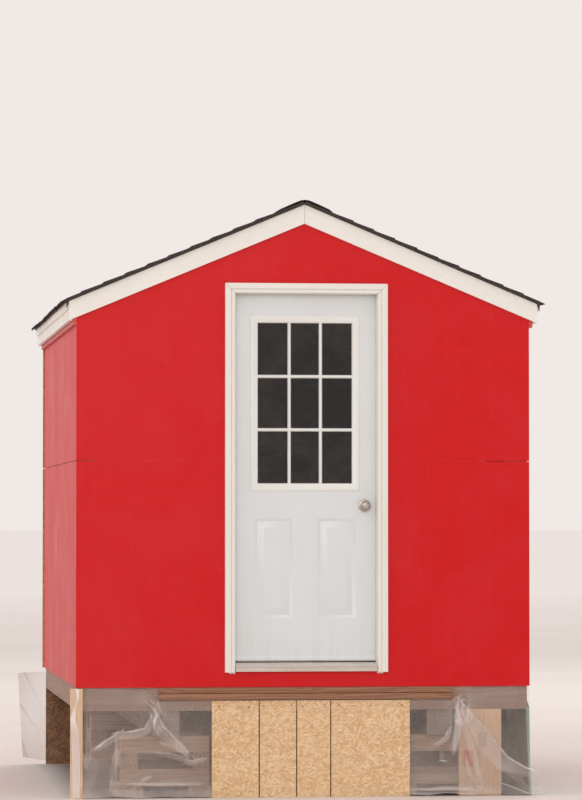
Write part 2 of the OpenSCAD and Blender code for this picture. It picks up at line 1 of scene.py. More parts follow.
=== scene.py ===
# %% [markdown]
# # An ice fishing hut
# The real one is a small plywood cabin that is dragged out on a frozen lake. It stands on timber cribbing,
# has a shingled gable roof, red paint, cream trim, a half-glazed house door, and a skirt of boards and
# plastic film that keeps the wind from blowing under the floor.
#
# The boards, sheets and hinges already exist as a fixed frame with exact sizes. This lesson dresses that
# frame: each flat board gets a finish that knows its grain, and what a saw and a planer can't make
# (shingles, pressed door skin, turned knob, creased film) is modelled here and laid over it.

# %% Load the frame
import math
import random

import bmesh
import bpy
from mathutils import Matrix, Vector, noise


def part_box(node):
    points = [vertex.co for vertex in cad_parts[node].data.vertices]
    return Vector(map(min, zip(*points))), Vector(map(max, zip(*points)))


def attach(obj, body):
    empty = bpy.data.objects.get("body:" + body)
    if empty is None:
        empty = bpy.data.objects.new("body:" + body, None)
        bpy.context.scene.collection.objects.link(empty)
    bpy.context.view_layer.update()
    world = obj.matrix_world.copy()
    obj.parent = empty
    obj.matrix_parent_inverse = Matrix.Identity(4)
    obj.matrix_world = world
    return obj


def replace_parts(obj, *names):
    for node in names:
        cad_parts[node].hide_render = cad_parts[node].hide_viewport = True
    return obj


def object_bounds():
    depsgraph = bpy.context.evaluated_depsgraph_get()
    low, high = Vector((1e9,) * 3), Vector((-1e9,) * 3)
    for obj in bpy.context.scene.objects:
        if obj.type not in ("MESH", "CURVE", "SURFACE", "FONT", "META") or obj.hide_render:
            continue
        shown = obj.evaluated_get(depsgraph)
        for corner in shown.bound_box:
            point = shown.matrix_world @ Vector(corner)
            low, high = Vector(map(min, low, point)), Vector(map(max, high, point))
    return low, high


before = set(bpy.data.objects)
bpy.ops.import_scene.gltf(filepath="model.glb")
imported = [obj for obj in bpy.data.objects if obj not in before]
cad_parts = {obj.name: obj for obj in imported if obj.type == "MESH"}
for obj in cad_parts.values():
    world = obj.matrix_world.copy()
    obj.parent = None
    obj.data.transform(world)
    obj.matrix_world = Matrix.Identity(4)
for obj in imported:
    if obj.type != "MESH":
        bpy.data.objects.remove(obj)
cad_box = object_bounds()

# %% [markdown]
# ## Where things are
# Every place comes from the frame, so that a piece still fits if the frame is packed again with other
# sizes. A box is two corners; short names for the planes that many pieces share keep the later cells
# readable.

# %% Planes and corners that many pieces share
LOW, HIGH = 0, 1
front_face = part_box("front_siding_left")[LOW].y
back_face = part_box("back_siding")[HIGH].y
left_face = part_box("left_siding")[LOW].x
right_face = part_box("right_siding")[HIGH].x
siding_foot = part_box("front_siding_left")[LOW].z
frame_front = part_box("floor_frame")[LOW].y
leaf_lo, leaf_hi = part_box("door_leaf")
roof_lo, roof_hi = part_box("right_shingles")
roof_slope = 5 / 12
roof_pitch = math.atan(roof_slope)
print(f"walls {right_face - left_face:.3f} x {back_face - front_face:.3f} m")
print(f"leaf {leaf_hi.z - leaf_lo.z:.3f} m high")

# %% [markdown]
# ## Camera
# A long lens from far off, a little left of the front and at chest height, so that the left wall shows as a
# narrow strip and the gable stays almost undistorted. Focus blur stays off.

# %% Camera
def aim_camera(distance, swing, heading, height, tilt, lens):
    """A camera swung to the left round the hut and turned back to it; angles are in degrees."""
    data = bpy.data.cameras.new("long_lens")
    data.lens, data.sensor_width = lens, 36.0
    data.clip_end = 2000.0
    camera = bpy.data.objects.new("camera", data)
    turn = math.radians(swing)
    camera.location = (-distance * math.sin(turn), -distance * math.cos(turn), height)
    camera.rotation_euler = (math.radians(90 + tilt), 0, -math.radians(heading))
    bpy.context.scene.collection.objects.link(camera)
    bpy.context.scene.camera = camera
    return camera


camera = aim_camera(distance=22.685, swing=6.518, heading=6.796, height=1.469, tilt=1.816, lens=176.27)
print("camera at", tuple(round(c, 3) for c in camera.location))

# %% [markdown]
# ## Light
# The day is overcast: the whole sky is one soft lamp, and the ice throws light back up from below. A pale
# world does most of the work. One very wide lamp from the front and above gives the boards a faint side to
# their edges, a soft one from the left keeps the strip of side wall from going flat, and one from behind does
# the same for the back.

# %% Sky and lamps
LAMP_TINT = (0.965, 0.985, 1.0)


def tone(red, green, blue):
    """A colour written as 0 to 255 display values, as linear light."""
    def linear(c):
        c /= 255
        return c / 12.92 if c <= 0.04045 else ((c + 0.055) / 1.055) ** 2.4
    return (linear(red), linear(green), linear(blue), 1.0)


def wide_lamp(name, place, target, size, power):
    data = bpy.data.lights.new(name, "AREA")
    data.shape, data.size, data.energy = "DISK", size, power
    data.color = LAMP_TINT
    lamp = bpy.data.objects.new(name, data)
    lamp.location = place
    lamp.rotation_euler = (Vector(target) - Vector(place)).to_track_quat("-Z", "Y").to_euler()
    bpy.context.scene.collection.objects.link(lamp)
    return lamp


world = bpy.data.worlds.new("overcast")
bpy.context.scene.world = world
world.use_nodes = True
world.node_tree.nodes["Background"].inputs["Color"].default_value = tone(240, 233, 230)
world.node_tree.nodes["Background"].inputs["Strength"].default_value = 1.0
bpy.context.scene.view_settings.view_transform = "Standard"
wide_lamp("front_sky", (-4.0, -22.0, 7.5), (0, 0, 1.2), 10.0, 900)
wide_lamp("side_sky", (-14.0, -3.0, 8.0), (0, 0, 1.2), 8.0, 350)
wide_lamp("back_sky", (6.0, 13.0, 12.0), (0, 0, 1.2), 9.0, 500)

# %% [markdown]
# ## A short hand for shader nodes
# A finish is a small graph. Writing each node with its sockets on one line keeps the graph readable from
# top to bottom, in the order in which the colours are built up.

# %% Node short hand
def put(tree, kind, sockets=None, **settings):
    """Adds a node, sets it up, and fills its sockets with values or with the outputs of other nodes."""
    node = tree.nodes.new(kind)
    for name, value in settings.items():
        setattr(node, name, value)
    for key, value in (sockets or {}).items():
        if isinstance(value, bpy.types.NodeSocket):
            tree.links.new(value, node.inputs[key])
        else:
            node.inputs[key].default_value = value
    return node


def calc(tree, operation, a, b=0.0, clamp=False):
    return put(tree, "ShaderNodeMath", {0: a, 1: b}, operation=operation, use_clamp=clamp).outputs[0]


def vector_calc(tree, operation, a, b):
    node = put(tree, "ShaderNodeVectorMath", {0: a, 1: b}, operation=operation)
    return node.outputs["Value" if operation == "DOT_PRODUCT" else "Vector"]


def blend(tree, amount, a, b, mode="MIX"):
    """Colour a under colour b."""
    node = put(tree, "ShaderNodeMix", {0: amount, 6: a, 7: b}, data_type="RGBA", blend_type=mode)
    return node.outputs[2]


def spread(tree, value, low, high, to_low=0.0, to_high=1.0):
    """The part of value between low and high, stretched to a new range."""
    return put(tree, "ShaderNodeMapRange", {0: value, 1: low, 2: high, 3: to_low, 4: to_high}).outputs[0]


def cloud(tree, vector, scale, detail=4.0, roughness=0.6, distortion=0.0):
    sockets = {"Vector": vector, "Scale": scale, "Detail": detail, "Roughness": roughness,
               "Distortion": distortion}
    return put(tree, "ShaderNodeTexNoise", sockets).outputs[0]


def effect(name, inputs, outputs):
    """A new node group with named sockets. Returns the group, its input node and its output node."""
    group = bpy.data.node_groups.new(name, "ShaderNodeTree")
    kinds = {"v": "NodeSocketVector", "f": "NodeSocketFloat", "c": "NodeSocketColor"}
    for title, kind, value in inputs:
        socket = group.interface.new_socket(title, in_out="INPUT", socket_type=kinds[kind])
        if value is not None:
            socket.default_value = value
    for title, kind in outputs:
        group.interface.new_socket(title, in_out="OUTPUT", socket_type=kinds[kind])
    return group, group.nodes.new("NodeGroupInput"), group.nodes.new("NodeGroupOutput")


def use(tree, group, sockets):
    return put(tree, "ShaderNodeGroup", sockets, node_tree=group).outputs


print("node short hand ready")


# %% [markdown]
# ## Effects that several finishes share
# Sawn wood shows fine fibres, wider growth rings and now and then a knot. All three run along the board, so
# the space is squeezed along it before the noise is read. `Board` is a number that differs from board to
# board, and shifts the pattern so that neighbours don't match.

# %% Board grain
board_grain, g_in, g_out = effect(
    "board grain",
    [("Vector", "v", None), ("Along", "v", (4, 70, 70)), ("Board", "f", 0.0), ("Knots", "f", 0.5)],
    [("Grain", "f"), ("Knot", "f"), ("Height", "f")],
)
t = board_grain
shift = put(t, "ShaderNodeCombineXYZ", {0: calc(t, "MULTIPLY", g_in.outputs["Board"], 7.3),
                                        1: calc(t, "MULTIPLY", g_in.outputs["Board"], 3.1),
                                        2: calc(t, "MULTIPLY", g_in.outputs["Board"], 5.7)}).outputs[0]
place = vector_calc(t, "ADD", g_in.outputs["Vector"], shift)
squeezed = vector_calc(t, "MULTIPLY", place, g_in.outputs["Along"])
fibre = cloud(t, squeezed, 4.0, 6.0, 0.7)
swirl = cloud(t, squeezed, 0.22, 2.0, 0.5, 0.3)
rings = calc(t, "SINE", calc(t, "MULTIPLY", swirl, 95.0))
rings = spread(t, rings, -1.0, 1.0)
knot_space = vector_calc(t, "MULTIPLY", squeezed, (0.07, 0.07, 0.07))
knot_cells = put(t, "ShaderNodeTexVoronoi", {"Vector": knot_space, "Scale": 1.0}).outputs["Distance"]
knot = spread(t, knot_cells, 0.10, 0.17, 1.0, 0.0)
knot = calc(t, "MULTIPLY", knot, g_in.outputs["Knots"])
grain = calc(t, "ADD", calc(t, "MULTIPLY", fibre, 0.6), calc(t, "MULTIPLY", rings, 0.4))
t.links.new(grain, g_out.inputs["Grain"])
t.links.new(knot, g_out.inputs["Knot"])
t.links.new(calc(t, "SUBTRACT", grain, calc(t, "MULTIPLY", knot, 0.4)), g_out.inputs["Height"])
print("effect:", t.name)

# %% [markdown]
# Boards of one frame are separate pieces of wood. Where they lie on a regular pitch, the cell that a point
# falls in says which board it belongs to, and a random number for the cell gives each board its own tint.

# %% Board lots
board_lot, g_in, g_out = effect(
    "board lot",
    [("Vector", "v", None), ("Start", "v", (0, 0, 0)), ("Cell", "v", (1, 1, 1))],
    [("Board", "f"), ("Tint", "c")],
)
t = board_lot
cell = vector_calc(t, "DIVIDE", vector_calc(t, "SUBTRACT", g_in.outputs["Vector"], g_in.outputs["Start"]),
                   g_in.outputs["Cell"])
cell = put(t, "ShaderNodeVectorMath", {0: cell}, operation="FLOOR").outputs[0]
dice = put(t, "ShaderNodeTexWhiteNoise", {"Vector": cell}, noise_dimensions="3D")
t.links.new(dice.outputs["Value"], g_out.inputs["Board"])
t.links.new(dice.outputs["Color"], g_out.inputs["Tint"])
print("effect:", t.name)

# %% [markdown]
# Edges lose their paint first and catch the light. The bevel node rounds the normal near an edge, and the
# difference from the real normal marks the edge. Noise breaks the mark up, since no edge wears evenly. On
# paint the mark bares the wood; on bare wood, strand board and metal it lightens the edge, partly rubbing
# and partly a painted highlight.

# %% Edge wear and painted highlight
edge_wear_and_highlight, g_in, g_out = effect(
    "edge mask",
    [("Vector", "v", None), ("Radius", "f", 0.004), ("Amount", "f", 0.5)],
    [("Edge mark", "f")],
)
t = edge_wear_and_highlight
round_normal = put(t, "ShaderNodeBevel", {"Radius": g_in.outputs["Radius"]}, samples=4).outputs[0]
true_normal = put(t, "ShaderNodeNewGeometry").outputs["Normal"]
bend = calc(t, "SUBTRACT", 1.0, vector_calc(t, "DOT_PRODUCT", round_normal, true_normal))
patches = cloud(t, g_in.outputs["Vector"], 22.0, 5.0, 0.7)
reach = spread(t, patches, 0.62, 0.35, 0.0, 1.0)
edge_part = calc(t, "MULTIPLY", spread(t, bend, 0.02, 0.14), reach)
t.links.new(calc(t, "MULTIPLY", edge_part, g_in.outputs["Amount"], clamp=True), g_out.inputs["Edge mark"])
print("effect:", t.name)

# %% [markdown]
# Weather leaves three marks on a wall: soft blotches, runs that follow the water down, and small dark specks.
# The runs are noise squeezed upright. All three are put out, and each finish decides what they do to its
# colour and gloss.

# %% Weather marks
weather, g_in, g_out = effect(
    "weather", [("Vector", "v", None), ("Size", "f", 1.0)], [("Blotch", "f"), ("Runs", "f"), ("Specks", "f")],
)
t = weather
sized = vector_calc(t, "MULTIPLY", g_in.outputs["Vector"],
                    put(t, "ShaderNodeCombineXYZ", {0: g_in.outputs["Size"], 1: g_in.outputs["Size"],
                                                    2: g_in.outputs["Size"]}).outputs[0])
t.links.new(cloud(t, sized, 2.2, 5.0, 0.62, 0.4), g_out.inputs["Blotch"])
upright = vector_calc(t, "MULTIPLY", sized, (26, 26, 1.1))
t.links.new(cloud(t, upright, 1.0, 4.0, 0.6), g_out.inputs["Runs"])
dots = put(t, "ShaderNodeTexVoronoi", {"Vector": sized, "Scale": 60.0}).outputs["Distance"]
t.links.new(spread(t, dots, 0.05, 0.16, 1.0, 0.0), g_out.inputs["Specks"])
print("effect:", t.name)

# %% [markdown]
# Fine snow sticks where it can lie: on faces that look up, and more of it near the ground.

# %% Snow dust
snow_dust, g_in, g_out = effect(
    "snow dust", [("Vector", "v", None), ("Amount", "f", 0.5), ("Height", "f", 0.6)], [("Snow", "f")],
)
t = snow_dust
up = put(t, "ShaderNodeSeparateXYZ", {0: put(t, "ShaderNodeNewGeometry").outputs["Normal"]}).outputs["Z"]
above = put(t, "ShaderNodeSeparateXYZ", {0: g_in.outputs["Vector"]}).outputs["Z"]
low_down = spread(t, calc(t, "DIVIDE", above, g_in.outputs["Height"]), 0.0, 1.0, 1.0, 0.0)
drift = cloud(t, g_in.outputs["Vector"], 14.0, 6.0, 0.7)
lying = calc(t, "MULTIPLY", spread(t, up, 0.3, 0.9), spread(t, drift, 0.38, 0.60))
splash = calc(t, "MULTIPLY", low_down, spread(t, drift, 0.56, 0.72))
snow = calc(t, "MAXIMUM", lying, splash)
t.links.new(calc(t, "MULTIPLY", snow, g_in.outputs["Amount"], clamp=True), g_out.inputs["Snow"])
print("effect:", t.name)

# %% [markdown]
# Strand board is pressed from flat wood chips that lie every way in the plane. Four layers of stretched
# cells, each turned to its own angle, stand for the chips; the highest of the four is the one that shows,
# and its rim is a dark gap. The vector's Y axis is the one that crosses the board.

# %% Strand board
def strand_layer(tree, vector, angle, offset, length, width):
    """Chips that all lie at one angle: a random colour for each, and the distance to its rim."""
    turned = put(tree, "ShaderNodeVectorRotate", {"Vector": vector, "Angle": math.radians(angle)},
                 rotation_type="Y_AXIS").outputs[0]
    moved = vector_calc(tree, "ADD", turned, (offset, offset * 0.37, offset * 0.71))
    chips = vector_calc(tree, "MULTIPLY", moved, (1 / length, 60.0, 1 / width))
    which = put(tree, "ShaderNodeTexVoronoi", {"Vector": chips, "Scale": 1.0}).outputs["Color"]
    rim = put(tree, "ShaderNodeTexVoronoi", {"Vector": chips, "Scale": 1.0}, feature="DISTANCE_TO_EDGE")
    return put(tree, "ShaderNodeSeparateColor", {0: which}).outputs, rim.outputs["Distance"]


def higher(tree, over, a, b):
    """Number a, or b where over is 1."""
    return put(tree, "ShaderNodeMix", {0: over, 2: a, 3: b}, data_type="FLOAT").outputs[0]


CHIP_LAYERS = ((8, 0.0, 0.075, 0.020), (68, 3.7, 0.060, 0.022), (-37, 9.2, 0.085, 0.017),
               (28, 14.1, 0.055, 0.015))
strand_board, g_in, g_out = effect(
    "strand board", [("Vector", "v", None), ("Size", "f", 1.0)],
    [("Chip", "f"), ("Rim", "f"), ("Fibre", "f"), ("Height", "f")],
)
t = strand_board
ripple = put(t, "ShaderNodeTexNoise", {"Vector": g_in.outputs["Vector"], "Scale": 9.0, "Detail": 3.0})
ripple = vector_calc(t, "MULTIPLY", ripple.outputs["Color"], (0.022, 0.022, 0.022))
plane = vector_calc(t, "ADD", g_in.outputs["Vector"], ripple)
plane = vector_calc(t, "MULTIPLY", plane, put(t, "ShaderNodeCombineXYZ", {
    0: g_in.outputs["Size"], 1: g_in.outputs["Size"], 2: g_in.outputs["Size"]}).outputs[0])
chip, rim = None, None
for angle, offset, length, width in CHIP_LAYERS:
    rgb, edge = strand_layer(t, plane, angle, offset, length, width)
    if chip is None:
        height, chip, rim = rgb[0], rgb[1], edge
        continue
    over = calc(t, "GREATER_THAN", rgb[0], height)
    height = higher(t, over, height, rgb[0])
    chip, rim = higher(t, over, chip, rgb[1]), higher(t, over, rim, edge)
rim = spread(t, rim, 0.0, 0.07, 1.0, 0.0)
fibre = cloud(t, vector_calc(t, "MULTIPLY", plane, (60, 60, 260)), 1.0, 4.0, 0.7)
t.links.new(chip, g_out.inputs["Chip"])
t.links.new(rim, g_out.inputs["Rim"])
t.links.new(fibre, g_out.inputs["Fibre"])
lift = calc(t, "ADD", height, calc(t, "MULTIPLY", fibre, 0.15))
lift = calc(t, "SUBTRACT", lift, calc(t, "MULTIPLY", rim, 0.8))
t.links.new(lift, g_out.inputs["Height"])
print("effect:", t.name)

# %% [markdown]
# ## Finishes
# Each finish is one material: a Principled shader, its colours built up from the effects above, and a bump
# that follows the same marks. `finish_start` makes the empty material and hands back what every one of them
# needs.

# %% Finish helpers
def finish_start(name):
    """An empty material with its tree, its shader, and the point's place in the hut's own metres."""
    material = bpy.data.materials.new(name)
    material.use_nodes = True
    tree = material.node_tree
    shader = tree.nodes["Principled BSDF"]
    where = put(tree, "ShaderNodeTexCoord").outputs["Object"]
    return material, tree, shader, where


def finish_end(tree, shader, colour, roughness, height, depth, strength=1.0):
    """Links the built-up colour, roughness and height; depth is the bump's real depth in metres."""
    tree.links.new(colour, shader.inputs["Base Color"])
    tree.links.new(roughness, shader.inputs["Roughness"])
    bump = put(tree, "ShaderNodeBump", {"Height": height, "Distance": depth, "Strength": strength})
    tree.links.new(bump.outputs[0], shader.inputs["Normal"])


def times(colour, factor):
    """A darker or lighter version of a colour."""
    return tuple(min(1, factor * c) for c in colour[:3]) + (1,)


ALONG_X, ALONG_Y, ALONG_Z = (3.0, 60.0, 60.0), (60.0, 3.0, 60.0), (60.0, 60.0, 3.0)
print("finish helpers ready")

# %% [markdown]
# ### Bare lumber
# Framing lumber is pale pine inside and weathers to tan and grey outside. One function makes them all:
# light and dark wood, how grey the weather has turned it, and the pitch on which its boards lie.

# %% Lumber
def lumber(name, along, light, dark, cell=(9, 9, 9), start=(0, 0, 0), grey=0.0, snow=0.0, knots=0.6,
           figure=0.7):
    material, tree, shader, where = finish_start(name)
    lot = use(tree, board_lot, {"Vector": where, "Start": start, "Cell": cell})
    grain = use(tree, board_grain, {"Vector": where, "Along": along, "Board": lot["Board"], "Knots": knots})
    marks = use(tree, weather, {"Vector": where, "Size": 1.6})
    colour = blend(tree, spread(tree, grain["Grain"], 0.3, 0.7, 0.5 - figure / 2, 0.5 + figure / 2), light,
                   dark)
    tint = spread(tree, lot["Board"], 0.0, 1.0, 0.0, 0.32)
    colour = blend(tree, tint, colour, times(dark, 0.55))
    colour = blend(tree, grain["Knot"], colour, tone(74, 44, 28))
    silver = calc(tree, "MULTIPLY", spread(tree, marks["Blotch"], 0.35, 0.65, 0.5, 1.0), grey)
    colour = blend(tree, silver, colour, tone(134, 122, 112))
    colour = blend(tree, calc(tree, "MULTIPLY", marks["Specks"], 0.35), colour, tone(58, 44, 36))
    edge_marks = use(tree, edge_wear_and_highlight, {"Vector": where, "Radius": 0.005, "Amount": 0.55})["Edge mark"]
    # Painted highlight: the edge mask lightens the wood past its lightest tone, partly rubbed wood and partly
    # light caught on the edge.
    colour = blend(tree, edge_marks, colour, times(light, 1.25))
    white = use(tree, snow_dust, {"Vector": where, "Amount": snow, "Height": 0.5})["Snow"]
    colour = blend(tree, white, colour, tone(224, 218, 216))
    rough = spread(tree, grain["Grain"], 0.2, 0.8, 0.62, 0.86)
    finish_end(tree, shader, colour, rough, grain["Height"], 0.0016, 0.8)
    return material


PINE_LIGHT, PINE_DARK = tone(214, 180, 136), tone(172, 128, 84)
TAN_LIGHT, TAN_DARK = tone(206, 176, 148), tone(160, 122, 92)
GREY_LIGHT, GREY_DARK = tone(170, 152, 138), tone(122, 104, 90)
stud_pine = lumber("stud_pine", ALONG_Z, PINE_LIGHT, PINE_DARK, cell=(0.3, 0.3, 9), start=(0.15, 0.15, 0))
joist_pine = lumber("joist_pine", ALONG_X, PINE_LIGHT, PINE_DARK, cell=(9, 0.3, 9), start=(0, 0.15, 0))
long_pine = lumber("long_pine", ALONG_Y, PINE_LIGHT, PINE_DARK, cell=(0.4, 9, 1.5))
rafter_pine = lumber("rafter_pine", (22.0, 60.0, 50.0), PINE_LIGHT, PINE_DARK, cell=(9, 0.3, 9),
                     start=(0, 0.15, 0))
rim_wood = lumber("rim_wood", ALONG_X, tone(186, 154, 136), tone(146, 116, 98), cell=(1.3, 9, 9),
                  start=(0.58, 0, 0), grey=0.30, snow=0.12, figure=0.5)
pad_wood = lumber("pad_wood", ALONG_Y, tone(196, 164, 138), tone(146, 112, 88), cell=(0.4, 2.4, 9),
                  grey=0.35, snow=0.9)
tan_block = lumber("tan_block", ALONG_X, TAN_LIGHT, TAN_DARK, cell=(9, 0.19, 0.089), start=(0, 0.01, 0.06),
                   grey=0.12, snow=0.25, figure=0.5)
grey_block = lumber("grey_block", ALONG_Y, tone(180, 150, 122), tone(132, 98, 70), cell=(0.19, 9, 9),
                    grey=0.25, snow=0.6)
skid_wood = lumber("skid_wood", ALONG_Y, GREY_LIGHT, GREY_DARK, cell=(1, 9, 9), grey=0.6, snow=0.5)
post_wood = lumber("post_wood", ALONG_Z, tone(238, 206, 174), tone(216, 180, 144), cell=(1, 9, 9), grey=0.06,
                   snow=0.3, figure=0.5)
sill_wood = lumber("sill_wood", ALONG_Y, tone(176, 144, 126), tone(136, 106, 88), cell=(9, 9, 9), grey=0.15,
                   snow=0.05, figure=0.5)
cleat_wood = lumber("cleat_wood", ALONG_X, tone(170, 122, 90), tone(126, 84, 58), cell=(9, 9, 0.0335),
                    start=(0, 0, 0.524), grey=0.08, snow=0.10, figure=0.5)
print("lumber finishes:", [m.name for m in bpy.data.materials])

# %% [markdown]
# ### Painted boards
# The walls are plywood with a thick satin red; the trim is boards in a warm cream. The paint follows the
# grain under it, chalks in blotches, runs a little paler where water comes down, and goes through to wood
# on the edges. The side of a sheet that faces the room was never painted: `inward` says which way that is.

# %% Paint over wood
def painted(name, paint, along, under, faded, fade=0.3, edge_marks=0.5, gloss=0.42, inward=(0, 0, 0), relief=0.0003,
            runs=0.25, snow=0.0, figure=0.12):
    material, tree, shader, where = finish_start(name)
    grain = use(tree, board_grain, {"Vector": where, "Along": along, "Board": 3.0, "Knots": 0.15})
    marks = use(tree, weather, {"Vector": where, "Size": 1.0})
    stipple = cloud(tree, where, 420.0, 2.0, 0.5)
    deep = times(paint, 0.80)
    colour = blend(tree, spread(tree, grain["Grain"], 0.35, 0.75, 0.0, figure), paint, deep)
    chalk = calc(tree, "MULTIPLY", spread(tree, marks["Blotch"], 0.42, 0.72), fade)
    colour = blend(tree, chalk, colour, faded)
    wash = calc(tree, "MULTIPLY", spread(tree, marks["Runs"], 0.52, 0.78), runs)
    colour = blend(tree, wash, colour, faded)
    colour = blend(tree, calc(tree, "MULTIPLY", marks["Specks"], 0.12), colour, deep)
    edge_part = use(tree, edge_wear_and_highlight, {"Vector": where, "Radius": 0.004, "Amount": edge_marks})["Edge mark"]
    wood = blend(tree, spread(tree, grain["Grain"], 0.3, 0.7), under, times(under, 0.6))
    colour = blend(tree, edge_part, colour, wood)
    facing = put(tree, "ShaderNodeNewGeometry").outputs["Normal"]
    bare = spread(tree, vector_calc(tree, "DOT_PRODUCT", facing, inward), 0.8, 0.95)
    colour = blend(tree, bare, colour, wood)
    white = use(tree, snow_dust, {"Vector": where, "Amount": snow, "Height": 1.2})["Snow"]
    colour = blend(tree, white, colour, tone(232, 226, 224))
    rough = calc(tree, "ADD", spread(tree, marks["Blotch"], 0.3, 0.7, gloss - 0.06, gloss + 0.10),
                 calc(tree, "MULTIPLY", bare, 0.35))
    height = calc(tree, "ADD", grain["Height"], calc(tree, "MULTIPLY", stipple, 0.35))
    height = calc(tree, "SUBTRACT", height, calc(tree, "MULTIPLY", edge_part, 0.5))
    finish_end(tree, shader, colour, rough, height, relief, 0.7)
    shader.inputs["Specular IOR Level"].default_value = 0.2
    return material


RED, FADED_RED = tone(206, 14, 20), tone(212, 92, 88)
PLY = tone(196, 158, 116)
red_front = painted("red_front", RED, ALONG_X, PLY, FADED_RED, fade=0.10, runs=0.05, edge_marks=0.15, relief=0.0005,
                    inward=(0, 1, 0), figure=0.2)
red_back = painted("red_back", RED, ALONG_X, PLY, FADED_RED, fade=0.18, runs=0.16, relief=0.0006,
                   inward=(0, -1, 0), figure=0.25)
red_left = painted("red_left", RED, ALONG_Z, PLY, FADED_RED, fade=0.40, runs=0.5, relief=0.0006,
                   inward=(1, 0, 0), figure=0.3)
red_right = painted("red_right", RED, ALONG_Z, PLY, FADED_RED, fade=0.25, runs=0.3, relief=0.0006,
                    inward=(-1, 0, 0), figure=0.3)
red_frieze = painted("red_frieze", tone(196, 64, 58), ALONG_Y, PLY, tone(214, 130, 124), fade=0.5, edge_marks=0.5,
                     figure=0.2)
cream_rake = painted("cream_rake", tone(236, 233, 226), (14.0, 60.0, 40.0), PLY, tone(230, 223, 212),
                     fade=0.3, edge_marks=0.2, gloss=0.5, runs=0.10)
cream_fascia = painted("cream_fascia", tone(238, 234, 226), ALONG_Y, PLY, tone(216, 206, 194), fade=0.35,
                       edge_marks=0.3, gloss=0.5, runs=0.2)
cream_casing = painted("cream_casing", tone(232, 229, 221), ALONG_Z, PLY, tone(224, 218, 208), fade=0.2,
                       edge_marks=0.12, gloss=0.38, runs=0.1)
cream_jamb = painted("cream_jamb", tone(228, 222, 212), ALONG_Z, PLY, tone(208, 198, 186), fade=0.25,
                     edge_marks=0.2, gloss=0.4, runs=0.1)
sill_paint = painted("sill_paint", tone(208, 199, 190), ALONG_X, tone(150, 126, 106), tone(190, 176, 162),
                     fade=0.5, edge_marks=0.6, gloss=0.5, runs=0.3, snow=0.4, relief=0.0006, figure=0.4)
print("painted finishes ready")

# %% [markdown]
# ### Strand board
# The board skirts are fresh, straw-coloured strand board. The same effect in dark brown makes the back
# skirt, a painted shade for the shadow it stands in under the floor. In a plain tan it makes the floor, and
# in a dark grey-brown the roof deck, a painted shade for the shadow under the shingles' edge. Floor and deck
# lie flat: for them the space is turned so that the effect's Y axis points up.

# %% Strand board finishes
def strands(name, light, middle, dark, flat=False, size=1.0, snow=0.4, gloss=0.55, gaps=0.55):
    material, tree, shader, where = finish_start(name)
    space = where
    if flat:
        upright = {"Vector": where, "Rotation": (math.radians(90), 0, 0)}
        space = put(tree, "ShaderNodeMapping", upright).outputs[0]
    wood = use(tree, strand_board, {"Vector": space, "Size": size})
    marks = use(tree, weather, {"Vector": where, "Size": 1.4})
    colour = blend(tree, spread(tree, wood["Chip"], 0.0, 0.6), dark, middle)
    colour = blend(tree, spread(tree, wood["Chip"], 0.45, 1.0), colour, light)
    colour = blend(tree, calc(tree, "MULTIPLY", spread(tree, wood["Fibre"], 0.45, 0.75), 0.4), colour, dark)
    sparse = spread(tree, cloud(tree, where, 38.0, 2.0), 0.46, 0.62, 0.15, 1.0)
    gap = calc(tree, "MULTIPLY", calc(tree, "MULTIPLY", wood["Rim"], sparse), gaps)
    colour = blend(tree, gap, colour, times(dark, 0.35))
    colour = blend(tree, calc(tree, "MULTIPLY", spread(tree, marks["Blotch"], 0.5, 0.75), 0.25), colour,
                   middle)
    edge_marks = use(tree, edge_wear_and_highlight, {"Vector": where, "Radius": 0.004, "Amount": 0.5})["Edge mark"]
    # Painted highlight: the edges go to the lightest chip colour, partly rubbed chips and partly light caught
    # on the edge.
    colour = blend(tree, edge_marks, colour, light)
    white = use(tree, snow_dust, {"Vector": where, "Amount": snow, "Height": 0.35})["Snow"]
    colour = blend(tree, white, colour, tone(226, 220, 216))
    rough = spread(tree, wood["Chip"], 0.0, 1.0, gloss, gloss + 0.2)
    finish_end(tree, shader, colour, rough, wood["Height"], 0.0018, 0.8)
    return material


skirt_strands = strands("skirt_strands", tone(244, 214, 174), tone(237, 202, 156), tone(216, 172, 124),
                        size=2.3, snow=0.08, gaps=0.42)
# Painted shade: the back skirt's brown is darkened for the shadow under the floor.
brown_strands = strands("brown_strands", tone(158, 116, 84), tone(140, 100, 70), tone(108, 74, 50), size=1.3,
                        snow=0.15, gaps=0.4)
floor_strands = strands("floor_strands", tone(206, 172, 124), tone(182, 142, 96), tone(132, 94, 58),
                        flat=True, snow=0.2)
# Painted shade: the roof deck's dark grey-brown stands for the shadow under the shingles' edge.
deck_strands = strands("deck_strands", tone(106, 88, 76), tone(86, 71, 61), tone(58, 46, 40), flat=True,
                       snow=0.0)
print("strand board finishes ready")

# %% [markdown]
# ### Shingles
# Asphalt shingles are felt with crushed stone pressed in. The stones are fine cells of near-black, brown
# and grey; each shingle is its own island of the mesh, and a random number per island shifts its tone a
# little. Frost lies in patches on top.

